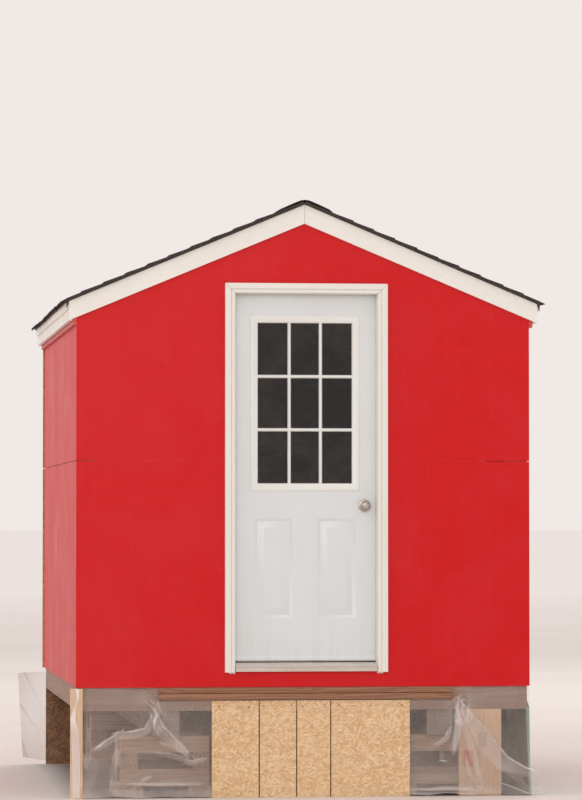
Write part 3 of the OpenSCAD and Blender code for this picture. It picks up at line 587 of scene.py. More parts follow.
# %% Shingle finish
def shingle_finish(name, base, stone, frost):
    material, tree, shader, where = finish_start(name)
    island = put(tree, "ShaderNodeNewGeometry")
    stones = put(tree, "ShaderNodeTexVoronoi", {"Vector": where, "Scale": 520.0})
    shade = put(tree, "ShaderNodeSeparateColor", {0: stones.outputs["Color"]}).outputs
    colour = blend(tree, spread(tree, shade[0], 0.3, 1.0), base, stone)
    colour = blend(tree, spread(tree, shade[1], 0.86, 0.96, 0.0, 0.7), colour, tone(132, 112, 98))
    tint = spread(tree, island.outputs["Random Per Island"], 0.0, 1.0, 0.0, 0.45)
    colour = blend(tree, tint, colour, times(base, 0.5))
    up = put(tree, "ShaderNodeSeparateXYZ", {0: island.outputs["Normal"]}).outputs["Z"]
    patches = spread(tree, cloud(tree, where, 2.4, 6.0, 0.66, 0.0), 0.52, 0.74)
    rime = calc(tree, "MULTIPLY", calc(tree, "MULTIPLY", patches, spread(tree, up, 0.55, 0.85)), frost)
    grit = spread(tree, cloud(tree, where, 160.0, 2.0), 0.35, 0.6)
    rime = calc(tree, "MULTIPLY", rime, grit)
    colour = blend(tree, rime, colour, tone(206, 202, 202))
    rough = spread(tree, shade[2], 0.0, 1.0, 0.74, 0.95)
    height = calc(tree, "SUBTRACT", 1.0, stones.outputs["Distance"])
    finish_end(tree, shader, colour, rough, height, 0.0009, 0.9)
    return material


roof_stone = shingle_finish("roof_stone", tone(34, 28, 26), tone(74, 66, 62), 0.55)
cap_stone = shingle_finish("cap_stone", tone(24, 20, 19), tone(58, 50, 46), 0.35)
print("shingle finishes ready")

# %% [markdown]
# ### Door skin and plastic
# The leaf is a pressed steel skin in baked white enamel: smooth, a touch of orange peel, grime towards the
# foot. The glazing frame is moulded plastic, slightly brighter. Both are one function with their own
# colours.

# %% Enamel and plastic
def enamel(name, coat, shade, grime, gloss, peel=0.0003, coat_weight=0.2):
    material, tree, shader, where = finish_start(name)
    marks = use(tree, weather, {"Vector": where, "Size": 1.5})
    skin = cloud(tree, where, 260.0, 3.0, 0.55)
    broad = cloud(tree, where, 6.0, 3.0, 0.5)
    colour = blend(tree, spread(tree, marks["Blotch"], 0.35, 0.7, 0.0, 0.5), coat, shade)
    low = put(tree, "ShaderNodeSeparateXYZ", {0: where}).outputs["Z"]
    foot = spread(tree, low, leaf_lo.z, leaf_lo.z + 0.35, 0.25, 0.02)
    dirt = calc(tree, "MULTIPLY", foot, spread(tree, marks["Runs"], 0.45, 0.75))
    colour = blend(tree, dirt, colour, grime)
    colour = blend(tree, calc(tree, "MULTIPLY", marks["Specks"], 0.18), colour, grime)
    edge_marks = use(tree, edge_wear_and_highlight, {"Vector": where, "Radius": 0.003, "Amount": 0.35})["Edge mark"]
    colour = blend(tree, edge_marks, colour, shade)
    rough = spread(tree, marks["Blotch"], 0.3, 0.7, gloss, gloss + 0.12)
    height = calc(tree, "ADD", skin, calc(tree, "MULTIPLY", broad, 2.0))
    finish_end(tree, shader, colour, rough, height, peel, 0.5)
    shader.inputs["Coat Weight"].default_value = coat_weight
    shader.inputs["Coat Roughness"].default_value = 0.25
    return material


white_enamel = enamel("white_enamel", tone(219, 224, 225), tone(212, 216, 215), tone(190, 184, 176), 0.30)
white_plastic = enamel("white_plastic", tone(221, 225, 226), tone(214, 216, 214), tone(184, 178, 170), 0.34)
bar_plastic = enamel("bar_plastic", tone(228, 230, 227), tone(223, 222, 217), tone(196, 190, 182), 0.34)
sweep_vinyl = enamel("sweep_vinyl", tone(176, 170, 162), tone(150, 142, 134), tone(110, 98, 88), 0.5,
                     0.0005, 0.0)
caulk = enamel("caulk", tone(214, 204, 192), tone(186, 172, 158), tone(140, 124, 110), 0.5, 0.0008, 0.0)
print("enamel and plastic ready")

# %% [markdown]
# ### Metal
# The knob is brushed nickel with handling marks, the hinges are plain steel and the nails are dull zinc.
# Brushing is noise stretched one way; fingers and frost dull it in patches, and its edges are painted
# brighter than the metal, partly polish and partly a painted highlight.

# %% Metal
def metal(name, bright, dull, along, gloss, rust=0.0):
    material, tree, shader, where = finish_start(name)
    brushed = cloud(tree, vector_calc(tree, "MULTIPLY", where, along), 1.0, 5.0, 0.65)
    marks = use(tree, weather, {"Vector": where, "Size": 6.0})
    colour = blend(tree, spread(tree, brushed, 0.3, 0.7), bright, dull)
    colour = blend(tree, calc(tree, "MULTIPLY", spread(tree, marks["Blotch"], 0.5, 0.75), rust), colour,
                   tone(96, 62, 42))
    edge_marks = use(tree, edge_wear_and_highlight, {"Vector": where, "Radius": 0.0012, "Amount": 0.7})["Edge mark"]
    # Painted highlight: edges brighter than the metal itself, partly polish.
    colour = blend(tree, edge_marks, colour, times(bright, 1.3))
    rough = spread(tree, marks["Blotch"], 0.3, 0.7, gloss, gloss + 0.18)
    finish_end(tree, shader, colour, rough, brushed, 0.0002, 0.5)
    shader.inputs["Metallic"].default_value = 1.0
    return material


nickel = metal("nickel", tone(196, 188, 178), tone(160, 150, 140), (400, 400, 900), 0.24)
hinge_steel = metal("hinge_steel", tone(190, 186, 180), tone(140, 134, 128), (300, 300, 1200), 0.30,
                    rust=0.25)
nail_zinc = metal("nail_zinc", tone(150, 144, 138), tone(110, 102, 96), (900, 900, 900), 0.45, rust=0.5)
print("metals ready")

# %% [markdown]
# ### Glass
# Nine panes show as one dark sheet, since the room behind is unlit. Clear glass would look too clean:
# smears make the gloss uneven, lighter and darker patches in its colour are a painted reflection, and a
# slight wave bends what it reflects.

# %% Glass
def pane_glass(name):
    material, tree, shader, where = finish_start(name)
    smear = cloud(tree, where, 7.0, 6.0, 0.7, 0.6)
    waves = cloud(tree, where, 1.7, 1.0, 0.4)
    patches = cloud(tree, where, 3.4, 4.0, 0.6, 0.8)
    # Painted reflection: patches of lighter tan in the glass colour stand for mottled reflections.
    shade = blend(tree, spread(tree, patches, 0.38, 0.62), tone(96, 76, 66), tone(186, 170, 160))
    shade = blend(tree, spread(tree, smear, 0.5, 0.8), shade, tone(124, 110, 102))
    finish_end(tree, shader, shade, spread(tree, smear, 0.45, 0.75, 0.015, 0.16), waves, 0.004, 0.35)
    shader.inputs["Transmission Weight"].default_value = 1.0
    shader.inputs["IOR"].default_value = 1.46
    return material


window_glass = pane_glass("window_glass")
print("glass ready")

# %% [markdown]
# ### Plastic film
# Builder's film is thin, milky and limp. It is nearly clear where it faces you and turns white where it
# tips away, because then you look along more of it. Each point of a sheet holds a number called
# `crease_and_highlight`, from 0 on a smooth stretch to 1 on a sharp fold, and the film is painted white by
# it: partly film whitened for good by creasing and partly a painted highlight where folds catch the light.
# Opacity follows both, and rises a little towards the ground.

# %% Film
def film(name, milk, clear_part, rim_part, gloss=0.16):
    material, tree, shader, where = finish_start(name)
    tipped = put(tree, "ShaderNodeLayerWeight", {"Blend": 0.42}).outputs["Facing"]
    crease_and_highlight = put(tree, "ShaderNodeAttribute", attribute_name="crease_and_highlight").outputs["Fac"]
    haze = cloud(tree, where, 3.2, 3.0, 0.5, 0.3)
    dust = cloud(tree, where, 190.0, 2.0, 0.6)
    body = spread(tree, tipped, 0.05, 0.85, clear_part, rim_part)
    body = calc(tree, "ADD", body, spread(tree, haze, 0.40, 0.70, 0.0, 0.12))
    height = put(tree, "ShaderNodeSeparateXYZ", {"Vector": where}).outputs["Z"]
    body = calc(tree, "ADD", body, spread(tree, height, 0.42, 0.05, 0.0, 0.12))
    body = calc(tree, "ADD", body, calc(tree, "MULTIPLY", crease_and_highlight, 0.72), clamp=True)
    body = calc(tree, "ADD", body, spread(tree, dust, 0.66, 0.74, 0.0, 0.25), clamp=True)
    wet = use(tree, snow_dust, {"Vector": where, "Amount": 0.5, "Height": 0.07})["Snow"]
    body = calc(tree, "MAXIMUM", body, wet)
    # Painted highlight: crease_and_highlight whitens the film colour along folds, together with snow at the
    # foot.
    colour = blend(tree, calc(tree, "MAXIMUM", crease_and_highlight, wet), milk, tone(238, 233, 230))
    tree.links.new(body, shader.inputs["Alpha"])
    rough = spread(tree, haze, 0.3, 0.7, gloss, gloss + 0.16)
    finish_end(tree, shader, colour, rough, cloud(tree, where, 14.0, 3.0, 0.5), 0.002, 0.3)
    shader.inputs["Specular IOR Level"].default_value = 0.8
    return material


clear_film = film("clear_film", tone(208, 194, 186), 0.17, 0.90)
strip_film = film("strip_film", tone(234, 214, 203), 0.46, 0.95)
teal_film = film("teal_film", tone(112, 158, 146), 0.66, 0.97)
print("films ready")

# %% [markdown]
# ## Dress the boards of the frame
# Most boards already have the right shape, so they only take a finish and a small rounded edge. The edge is
# a modifier: the frame's own mesh stays as it was packed.

# %% Finishes and rounded edges for the frame's nodes
def round_edges(piece, width, angle=40):
    rounded = piece.modifiers.new("rounded edge", "BEVEL")
    rounded.width, rounded.segments, rounded.limit_method = width, 2, "ANGLE"
    rounded.angle_limit = math.radians(angle)


def dress(node, material, edge):
    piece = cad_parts[node]
    piece.data.materials.clear()
    piece.data.materials.append(material)
    for face in piece.data.polygons:
        face.material_index = 0
    if edge:
        round_edges(piece, edge)


for node, material, edge in (
    ("ground_pads", pad_wood, 0.004), ("crib_cross_blocks", tan_block, 0.004),
    ("crib_long_blocks", grey_block, 0.004), ("skids", skid_wood, 0.005), ("sill_planks", sill_wood, 0.003),
    ("floor_frame", rim_wood, 0.003), ("floor_deck", floor_strands, 0.001),
    ("wall_plates", long_pine, 0.002), ("left_wall_studs", stud_pine, 0.002),
    ("right_wall_studs", stud_pine, 0.002), ("back_wall_studs", stud_pine, 0.002),
    ("front_wall_studs", stud_pine, 0.002), ("door_header", joist_pine, 0.002),
    ("ridge_board", long_pine, 0.002), ("left_rafters", rafter_pine, 0.002),
    ("right_rafters", rafter_pine, 0.002), ("left_roof_deck", deck_strands, 0.001),
    ("right_roof_deck", deck_strands, 0.001), ("rake_boards", cream_rake, 0.002),
    ("fascia_boards", cream_fascia, 0.002), ("frieze_boards", red_frieze, 0.002),
    ("left_siding", red_left, 0.001), ("right_siding", red_right, 0.001), ("back_siding", red_back, 0.001),
    ("front_siding_left", red_front, 0.0), ("front_siding_right", red_front, 0.0),
    ("front_siding_over_door", red_front, 0.0), ("front_siding_under_door", red_front, 0.0),
    ("door_casing", cream_casing, 0.0012), ("door_jamb", cream_jamb, 0.0015),
    ("threshold", sill_paint, 0.002), ("jamb_hinges", hinge_steel, 0.0006),
    ("door_hinges", hinge_steel, 0.0006), ("skirt_cleats", cleat_wood, 0.003),
    ("skirt_posts", post_wood, 0.003), ("board_skirts", skirt_strands, 0.0015),
    ("back_skirt", brown_strands, 0.0015), ("door_sweep", sweep_vinyl, 0.001),
    ("door_glass", window_glass, 0.0),
):
    dress(node, material, edge)
print("dressed nodes of the frame")

# %% [markdown]
# ## Building pieces from points
# A piece is a list of points and faces. `Pieces` gathers them, so that a hundred nails or shingles become
# one mesh with separate islands; `finish_piece` turns the lists into an object that rides on its body.

# %% Mesh helpers
class Pieces:
    def __init__(self):
        self.points, self.faces = [], []

    def add(self, points, faces):
        start = len(self.points)
        self.points += [tuple(p) for p in points]
        self.faces += [[i + start for i in face] for face in faces]

    def rows(self, rows, closed=False):
        """Quads between rows of equal length; closed joins each row's end to its start."""
        wide = len(rows[0])
        last = wide if closed else wide - 1
        faces = [[r * wide + c, r * wide + (c + 1) % wide, (r + 1) * wide + (c + 1) % wide,
                  (r + 1) * wide + c]
                 for r in range(len(rows) - 1) for c in range(last)]
        self.add([p for row in rows for p in row], faces)

    def rod(self, rows):
        """A closed bar: each row is one ring of its points, and both ends are capped."""
        first, wide = len(self.points), len(rows[0])
        self.rows(rows, closed=True)
        last = first + wide * (len(rows) - 1)
        self.faces += [[first + i for i in range(wide)], [last + i for i in reversed(range(wide))]]

    def block(self, low, high, place=Matrix()):
        corners = [place @ Vector((x, y, z)) for z in (low[2], high[2]) for y in (low[1], high[1])
                   for x in (low[0], high[0])]
        self.add(corners, [[0, 2, 3, 1], [4, 5, 7, 6], [0, 1, 5, 4], [2, 6, 7, 3], [0, 4, 6, 2],
                           [1, 3, 7, 5]])

    def turned(self, outline, place, steps=32):
        """A lathe shape: outline is (radius, height) pairs, turned about the Z axis of place."""
        rows = [[place @ Vector((r * math.cos(a), r * math.sin(a), h))
                 for a in (2 * math.pi * s / steps for s in range(steps))] for r, h in outline]
        start = len(self.points)
        self.rows(rows, closed=True)
        self.faces.append([start + s for s in reversed(range(steps))])
        end = start + (len(outline) - 1) * steps
        self.faces.append([end + s for s in range(steps)])


def finish_piece(name, pieces, body, material, smooth=35, edge=0.0, closed=True):
    mesh = bpy.data.meshes.new(name)
    mesh.from_pydata(pieces.points, [], pieces.faces)
    if closed:
        shell = bmesh.new()
        shell.from_mesh(mesh)
        bmesh.ops.recalc_face_normals(shell, faces=shell.faces)
        shell.to_mesh(mesh)
        shell.free()
    mesh.materials.append(material)
    mesh.shade_smooth()
    mesh.set_sharp_from_angle(angle=math.radians(smooth))
    piece = bpy.data.objects.new(name, mesh)
    bpy.context.scene.collection.objects.link(piece)
    if edge:
        round_edges(piece, edge)
    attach(piece, body)
    print(f"{name}: {len(mesh.polygons)} faces")
    return piece


# %% [markdown]
# ## Shingles
# A strip shingle is a metre long with slots that cut it into tabs. Courses start at the eave, each covers
# the top of the one below, and the slots of neighbouring courses are staggered. Each tab here is its own
# wedge: thick at its butt, thin where the next course lies on it, a few millimetres crooked, and drooping
# where it overhangs. Numbers: 127 mm of each course shows, and a tab is 305 mm wide.

# %% Shingle courses
SHOWS, TAB, SLOT = 0.127, 0.305, 0.007
slant = Vector((math.cos(roof_pitch), math.sin(roof_pitch)))


def roof_point(side, down, along, lift):
    """A point on one slope: metres down from the ridge, along Y, and up off the slope's underside."""
    ridge_z = roof_lo.z + roof_slope * roof_hi.x
    across = down * slant.x + lift * slant.y
    return Vector((side * across, along, ridge_z - down * slant.y + lift * slant.x))


print(f"slope of {roof_hi.x / slant.x:.3f} m, {math.ceil(roof_hi.x / slant.x / SHOWS)} courses")

# %% [markdown]
# The deck's sloping edge at each gable is hidden by a lip of the felt under the shingles. It was trimmed
# with a knife, so its lower edge is ragged. It is one long bar whose lower corners are moved a little at
# random.

# %% Hem at the gables
UNDERLAY, HEM_DROP = 0.0075, 0.0075


def hem_strip(courses, side, run, end, reach, dice):
    """The ragged lip of felt that hangs over the deck's sloping edge at one end of the roof."""
    rows = []
    steps = 44
    for step in range(steps):
        down = 0.006 + (run - 0.036) * step / (steps - 1)
        drop = -HEM_DROP + dice.uniform(-0.0022, 0.0018)
        out = reach + 0.0016 + dice.uniform(-0.0004, 0.0008)
        rows.append([roof_point(side, down, end * at, lift) for at, lift in
                     ((reach - 0.004, 0.0060), (out, 0.0072), (out + 0.0008, drop), (out - 0.0016, drop))])
    courses.rod(rows)


print("hem ready,", HEM_DROP, "m deep")

# %% [markdown]
# A tab is a closed wedge with a few points down the slope and along its butt, enough to let the butt droop,
# curl at the corners and run crooked. The first course lies flatter, because it has nothing under it but
# the deck.

# %% One tab
TAB_LIFT, FIRST_RISE, RISE = 0.0085, 0.0022, 0.0058


def add_tab(courses, side, top, butt, lo, hi, curl, hang, reach, dice):
    """One tab as a closed wedge, five points down the slope and seven along the eave."""
    steps_down, steps_along = 5, 7
    ragged = [dice.uniform(-0.0022, 0.0022) for _ in range(steps_along)]
    upper, lower = [], []
    for d in range(steps_down):
        share = d / (steps_down - 1)
        row_up, row_low = [], []
        for s in range(steps_along):
            along = lo + (hi - lo) * s / (steps_along - 1)
            down = top + (butt - top) * share + (ragged[s] if d == steps_down - 1 else 0)
            past = max(0.0, abs(along) - (reach - 0.02)) / 0.02
            droop = hang * max(0.0, share - 0.7) / 0.3 + 0.0035 * past
            cupped = curl * share ** 3 * abs(2 * s / (steps_along - 1) - 1)
            lift = TAB_LIFT + (FIRST_RISE if hang else RISE) * share + cupped - droop
            row_up.append(roof_point(side, down, along, lift))
            row_low.append(roof_point(side, down, along, lift - 0.0016 - 0.0030 * share))
        upper.append(row_up)
        lower.append(row_low)
    wide = steps_along
    points = [p for row in upper for p in row] + [p for row in lower for p in row]
    half = steps_down * wide
    quads = [(r * wide + c, r * wide + c + 1, (r + 1) * wide + c + 1, (r + 1) * wide + c)
             for r in range(steps_down - 1) for c in range(wide - 1)]
    faces = [list(q) for q in quads] + [[half + i for i in reversed(q)] for q in quads]
    rim = ([c for c in range(wide)] + [r * wide + wide - 1 for r in range(1, steps_down)]
           + [(steps_down - 1) * wide + c for c in reversed(range(wide - 1))]
           + [r * wide for r in reversed(range(1, steps_down - 1))])
    faces += [[a, b, b + half, a + half] for a, b in zip(rim, rim[1:] + rim[:1])]
    courses.add(points, faces)


print("tab ready, butt rises", RISE, "m")

# %% [markdown]
# A slope is its underlay, two hems and the courses from the eave up. All tabs of a slope are one mesh of
# many islands, which is quick to draw and still lets the finish tell them apart.

# %% Both slopes
def lay_slope(side, seed):
    dice = random.Random(seed)
    run = roof_hi.x / slant.x
    reach = roof_hi.y
    courses = Pieces()
    under = [[roof_point(side, down, along, lift) for down, lift in
              ((0.004, 0.0), (run - 0.030, 0.0), (run - 0.030, UNDERLAY), (0.004, UNDERLAY))]
             for along in (-reach + 0.006, reach - 0.006)]
    courses.rows([under[0] + under[0][:1], under[1] + under[1][:1]])
    courses.add(under[0], [[0, 1, 2, 3]])
    courses.add(under[1], [[3, 2, 1, 0]])
    for end in (-1, 1):
        hem_strip(courses, side, run, end, reach, dice)
    count = math.ceil(run / SHOWS)
    for course in range(count):
        butt = run - course * SHOWS
        top = max(butt - SHOWS - 0.03, 0.006)
        start = -reach + (TAB / 2 if course % 2 else 0) + dice.uniform(-0.03, 0.03)
        slots = [start + TAB * k for k in range(1, 12)]
        edges = [-reach] + [at for at in slots if -reach + 0.03 < at < reach - 0.03] + [reach]
        for left, right in zip(edges, edges[1:]):
            crook, curl = dice.uniform(-0.004, 0.004), dice.uniform(0.0, 0.0022)
            hang = dice.uniform(0.002, 0.011) if course == 0 else 0.0
            lo = left + (SLOT / 2 if left > -reach else dice.uniform(-0.002, 0.009))
            hi = right - (SLOT / 2 if right < reach else dice.uniform(-0.002, 0.009))
            add_tab(courses, side, top, butt + crook, lo, hi, curl, hang, reach, dice)
    return courses


for side, node, seed in ((-1, "left_shingles", 5), (1, "right_shingles", 9)):
    laid = finish_piece(node.replace("shingles", "slope_shingles"), lay_slope(side, seed), "hut",
                        roof_stone, smooth=40)
    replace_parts(laid, node)

# %% [markdown]
# ## Ridge cap
# The ridge is capped with single shingles bent over it, from the back forward, each overlapping the one
# behind. A stiff shingle doesn't fold sharply; it bends over a small radius, so the section is an arc
# between two legs.

# %% Ridge cap shingles
cap_lo, cap_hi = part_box("ridge_cap")
CAP_THICK, CAP_SHOWS, BEND = 0.0065, 0.135, 0.030


def cap_section(lift, leg, sag):
    """Points across the ridge, from the left leg's edge to the right one's, at a lift off the underside."""
    points = []
    peak = cap_hi.z - CAP_THICK
    for step in range(-8, 9):
        x = leg * slant.x * step / 8
        z = peak - roof_slope * (abs(x) if abs(x) > BEND else (x * x / BEND + BEND) / 2)
        z -= sag * (abs(step) / 8) ** 3
        aside = lift * slant.y if step > 0 else -lift * slant.y if step < 0 else 0
        points.append((x + aside, z + lift * slant.x))
    return points


def cap_ridge(seed):
    dice = random.Random(seed)
    cap = Pieces()
    leg = cap_hi.x / slant.x
    y = cap_hi.y
    while y > cap_lo.y + 0.02:
        front = max(y - TAB, cap_lo.y)
        rows_up, rows_low = [], []
        width = leg - dice.uniform(0.0, 0.008)
        for step in range(6):
            share = step / 5
            along = y + (front - y) * share
            lift = 0.0012 + 0.0050 * share
            upper = cap_section(lift, width, 0.003)
            rows_up.append([(x, along + 0.002 * math.sin(9 * x + y), z) for x, z in upper])
            rows_low.append([(x, along + 0.002 * math.sin(9 * x + y), z)
                             for x, z in cap_section(lift - 0.0035 * (0.4 + 0.6 * share), width, 0.003)])
        cap.rod([up + low[::-1] for up, low in zip(rows_up, rows_low)])
        y -= CAP_SHOWS
    return cap


ridge = finish_piece("ridge_cap_shingles", cap_ridge(3), "hut", cap_stone, smooth=50)
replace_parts(ridge, "ridge_cap")

# %% [markdown]
# ## Eave trim
# A second, narrow board is nailed over the top of each fascia. On the real one it was cut by hand, so its
# lower edge waves, and it went on in three lengths with gaps where scraps of shingle hang through.

# %% Upper eave strips and hanging scraps
fascia_lo, fascia_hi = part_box("fascia_boards")
STRIP_H, STRIP_T = 0.044, 0.011


def eave_strips(side, seed):
    dice = random.Random(seed)
    strips, scraps = Pieces(), Pieces()
    outer = fascia_hi.x
    ends = (fascia_lo.y - 0.017, -0.72, 0.31, fascia_hi.y)
    for start, end in zip(ends, ends[1:]):
        a, b = start + dice.uniform(0.004, 0.010), end - dice.uniform(0.008, 0.016)
        sections = []
        count = 26
        phase = dice.uniform(0, 6)
        for step in range(count):
            y = a + (b - a) * step / (count - 1)
            drop = STRIP_H + 0.003 * math.sin(phase + 2.6 * y) + 0.0012 * noise.noise((y * 5, phase, side))
            end_round = 0.012 * max(0, 1 - min(y - a, b - y) / 0.02)
            z = fascia_hi.z - 0.002
            sections.append([(side * (outer + 0.0004), y, z), (side * (outer + STRIP_T), y, z),
                             (side * (outer + STRIP_T), y, z - drop + end_round + 0.003),
                             (side * (outer + STRIP_T - 0.003), y, z - drop + end_round),
                             (side * (outer + 0.0004), y, z - drop + end_round)])
        strips.rod(sections)
    for y in ends[1:-1]:
        for _ in range(3):
            at = y + dice.uniform(-0.016, 0.016)
            long = dice.uniform(0.008, 0.018)
            wide = dice.uniform(0.014, 0.030)
            lean = Matrix.Translation((side * (outer + STRIP_T + 0.003), at, fascia_hi.z + 0.004)) \
                @ Matrix.Rotation(dice.uniform(-0.25, 0.25), 4, "X")
            rows = []
            for k in range(5):
                half = wide / 2 * (1 - 0.45 * (k / 4) ** 2)
                curl = side * 0.004 * (k / 4) ** 2
                rows.append([lean @ Vector((x + curl, s * half, -long * k / 4)) for x, s in
                             ((-0.0015, -1), (0.0015, -1), (0.0015, 1), (-0.0015, 1))])
            scraps.rod(rows)
    corner = Matrix.Translation((side * (outer + STRIP_T + 0.001), fascia_lo.y - 0.021, fascia_hi.z + 0.002))
    flap = []
    for k in range(5):
        left = 1 - k / 4
        section = ((-0.010 * left, 0.014 * left + 0.001), (0.002, 0.014 * left + 0.001), (0.002, -0.003),
                   (-0.010 * left, -0.003))
        flap.append([corner @ Vector((side * x, y, -0.042 * k / 4)) for x, y in section])
    scraps.rod(flap)
    return strips, scraps


for side, word in ((-1, "left"), (1, "right")):
    strips, scraps = eave_strips(side, 11 + side)
    finish_piece(word + "_eave_strips", strips, "hut", cream_fascia, edge=0.0008)
    finish_piece(word + "_eave_scraps", scraps, "hut", cap_stone)

# %% [markdown]
# ## Caulk and nails
# The plumb joint of the rake boards is filled with a bead of caulk. A nail head is a shallow dome; on the
# skirts they are bare zinc, on the trim and the walls the paint went over them, so they wear the trim's
# cream and the wall's red.

# %% Caulk beads
rake_lo, rake_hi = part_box("rake_boards")
beads = Pieces()
for y, out in ((rake_lo.y, -1), (rake_hi.y, 1)):
    rows = []
    for k in range(24):
        z = rake_hi.z - 0.002 - 0.100 * k / 23
        wide = 0.0022 + 0.0009 * noise.noise((0.3, z * 60, y))
        rows.append([(-wide, y + out * 0.0002, z), (0, y + out * 0.0016, z), (wide, y + out * 0.0002, z)])
    beads.rows(rows)
finish_piece("peak_caulk", beads, "hut", caulk, smooth=80, closed=False)

# %% [markdown]
# A nail head is a shallow dome spun on the lathe. A few on each trim board are enough to see that it was
# nailed up, and a little jitter keeps the rows from looking drawn with a ruler.

# %% Nails
def nail_head(pieces, place, out, radius=0.0042, rise=0.0014):
    """A domed head at place, facing along out."""
    turn = Vector(out).to_track_quat("Z", "Y").to_matrix().to_4x4()
    pieces.turned([(radius, -0.0004), (radius, rise * 0.45), (radius * 0.72, rise * 0.85),
                   (radius * 0.25, rise)],
                  Matrix.Translation(place) @ turn, steps=10)


def jitter(dice, spread_by=0.006):
    return dice.uniform(-spread_by, spread_by)


dice = random.Random(21)
trim_nails = Pieces()
for y, out in ((rake_lo.y, (0, -1, 0)), (rake_hi.y, (0, 1, 0))):
    for side in (-1, 1):
        for step in range(4):
            x = 0.11 + step * 0.352
            top = rake_hi.z - roof_slope * x
            for drop in (0.024, 0.078):
                nail_head(trim_nails, (side * (x + jitter(dice)), y, top - drop + jitter(dice)), out,
                          0.0034, 0.0010)
for side in (-1, 1):
    for step in range(8):
        y = fascia_lo.y + 0.06 + step * (fascia_hi.y - fascia_lo.y - 0.12) / 7
        nail_head(trim_nails, (side * fascia_hi.x, y, fascia_lo.z + 0.022 + jitter(dice, 0.003)),
                  (side, 0, 0))
        nail_head(trim_nails, (side * (fascia_hi.x + STRIP_T), y + jitter(dice), fascia_hi.z - 0.02),
                  (side, 0, 0))
finish_piece("trim_nails", trim_nails, "hut", cream_fascia)

# %% [markdown]
# The sheets are nailed to the studs behind them, so the rows follow the studs. These heads were painted
# over with the wall and only show as small bumps, which is why they take the wall's own finish.

# %% Nails under the wall paint
wall_nails = {"front": Pieces(), "back": Pieces(), "left": Pieces(), "right": Pieces()}
case_lo, case_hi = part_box("door_casing")
wall_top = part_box("left_siding")[HIGH].z
inner = right_face - 0.05
gable = [-inner, -0.77, case_lo.x - 0.02, case_hi.x + 0.02, 0.77, inner]
STUD_PITCH, NAIL_PITCH = 0.602, 0.2
for name, y, out in (("front", front_face, -1), ("back", back_face, 1)):
    for x in (gable if name == "front" else [-inner, -0.61, 0.0, 0.61, inner]):
        z = siding_foot + 0.03
        while z < wall_top - 0.02:
            nail_head(wall_nails[name], (x + jitter(dice), y, z + jitter(dice)), (0, out, 0), 0.004, 0.0009)
            z += NAIL_PITCH
for name, x, out in (("left", left_face, -1), ("right", right_face, 1)):
    for post in range(6):
        y = frame_front + 0.019 + post * STUD_PITCH
        z = siding_foot + 0.03
        while z < wall_top - 0.06:
            nail_head(wall_nails[name], (x, y + jitter(dice), z + jitter(dice)), (out, 0, 0), 0.004, 0.0009)
            z += NAIL_PITCH
for name, material in (("front", red_front), ("back", red_back), ("left", red_left), ("right", red_right)):
    finish_piece(name + "_wall_nails", wall_nails[name], "hut", material)

# %% [markdown]
# ## Filler in the level seam
# The front wall's sheets meet in one level seam. It was filled and painted with the wall, so it only shows
# where the filler has fallen out: a hand's width at the left corner and a longer stretch at the right. The
# back wall's seam is at the same height and is filled from end to end.

# %% Filled seam
def seam_of(node):
    """The heights between which the sheets of a wall leave a gap: the smallest step between their corners."""
    levels = sorted({round(v.co.z, 4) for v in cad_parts[node].data.vertices})
    steps = [pair for pair in zip(levels, levels[1:]) if pair[1] - pair[0] > 0.001]
    return min(steps, key=lambda pair: pair[1] - pair[0])


seam_low, seam_high = seam_of("front_siding_left")
filler = Pieces()
SPANS = ((front_face, 1, left_face + 0.10, case_lo.x - 0.002),
         (front_face, 1, case_hi.x + 0.002, right_face - 0.24),
         (back_face, -1, left_face + 0.014, right_face - 0.014))
for face, inward, start, end in SPANS:
    rows = []
    for k in range(60):
        x = start + (end - start) * k / 59
        sunk = 0.0002 + 0.0005 * abs(noise.noise((x * 9, 0.4, 2.0)))
        rows.append([(x, face + inward * 0.004, seam_low), (x, face + inward * sunk, seam_low + 0.0001),
                     (x, face + inward * sunk, seam_high - 0.0001), (x, face + inward * 0.004, seam_high)])
    filler.rod(rows)
finish_piece("seam_filler", filler, "hut", red_front)

# %% [markdown]
# ## Door leaf
# The leaf is two pressed steel skins on a frame. Each skin carries two tall panels whose outline steps down
# into a groove, up over a bead, and slopes back to a raised field. The face is cut into cells at the panel
# and window edges; a panel cell is filled with nested rings, and each ring is pushed in or out by the
# moulding's profile.

# %% Pressed leaf
pane_lo, pane_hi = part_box("door_glass")
lite_lo, lite_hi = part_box("glazing_frames")
leaf_mid_x = (leaf_lo.x + leaf_hi.x) / 2
panel_mid, panel_wide = 0.172, 0.210
panel_high = lite_lo.z - 0.147
panel_low = leaf_lo.z + 0.229
PROFILE = ((0.000, 0.0), (0.003, -0.0008), (0.013, -0.0070), (0.016, -0.0078), (0.019, -0.0074),
           (0.048, -0.0008), (0.051, -0.0001), (0.054, 0.0))


def ring_corners(low, high, inset):
    return [(low[0] + inset, low[1] + inset), (high[0] - inset, low[1] + inset),
            (high[0] - inset, high[1] - inset), (low[0] + inset, high[1] - inset)]


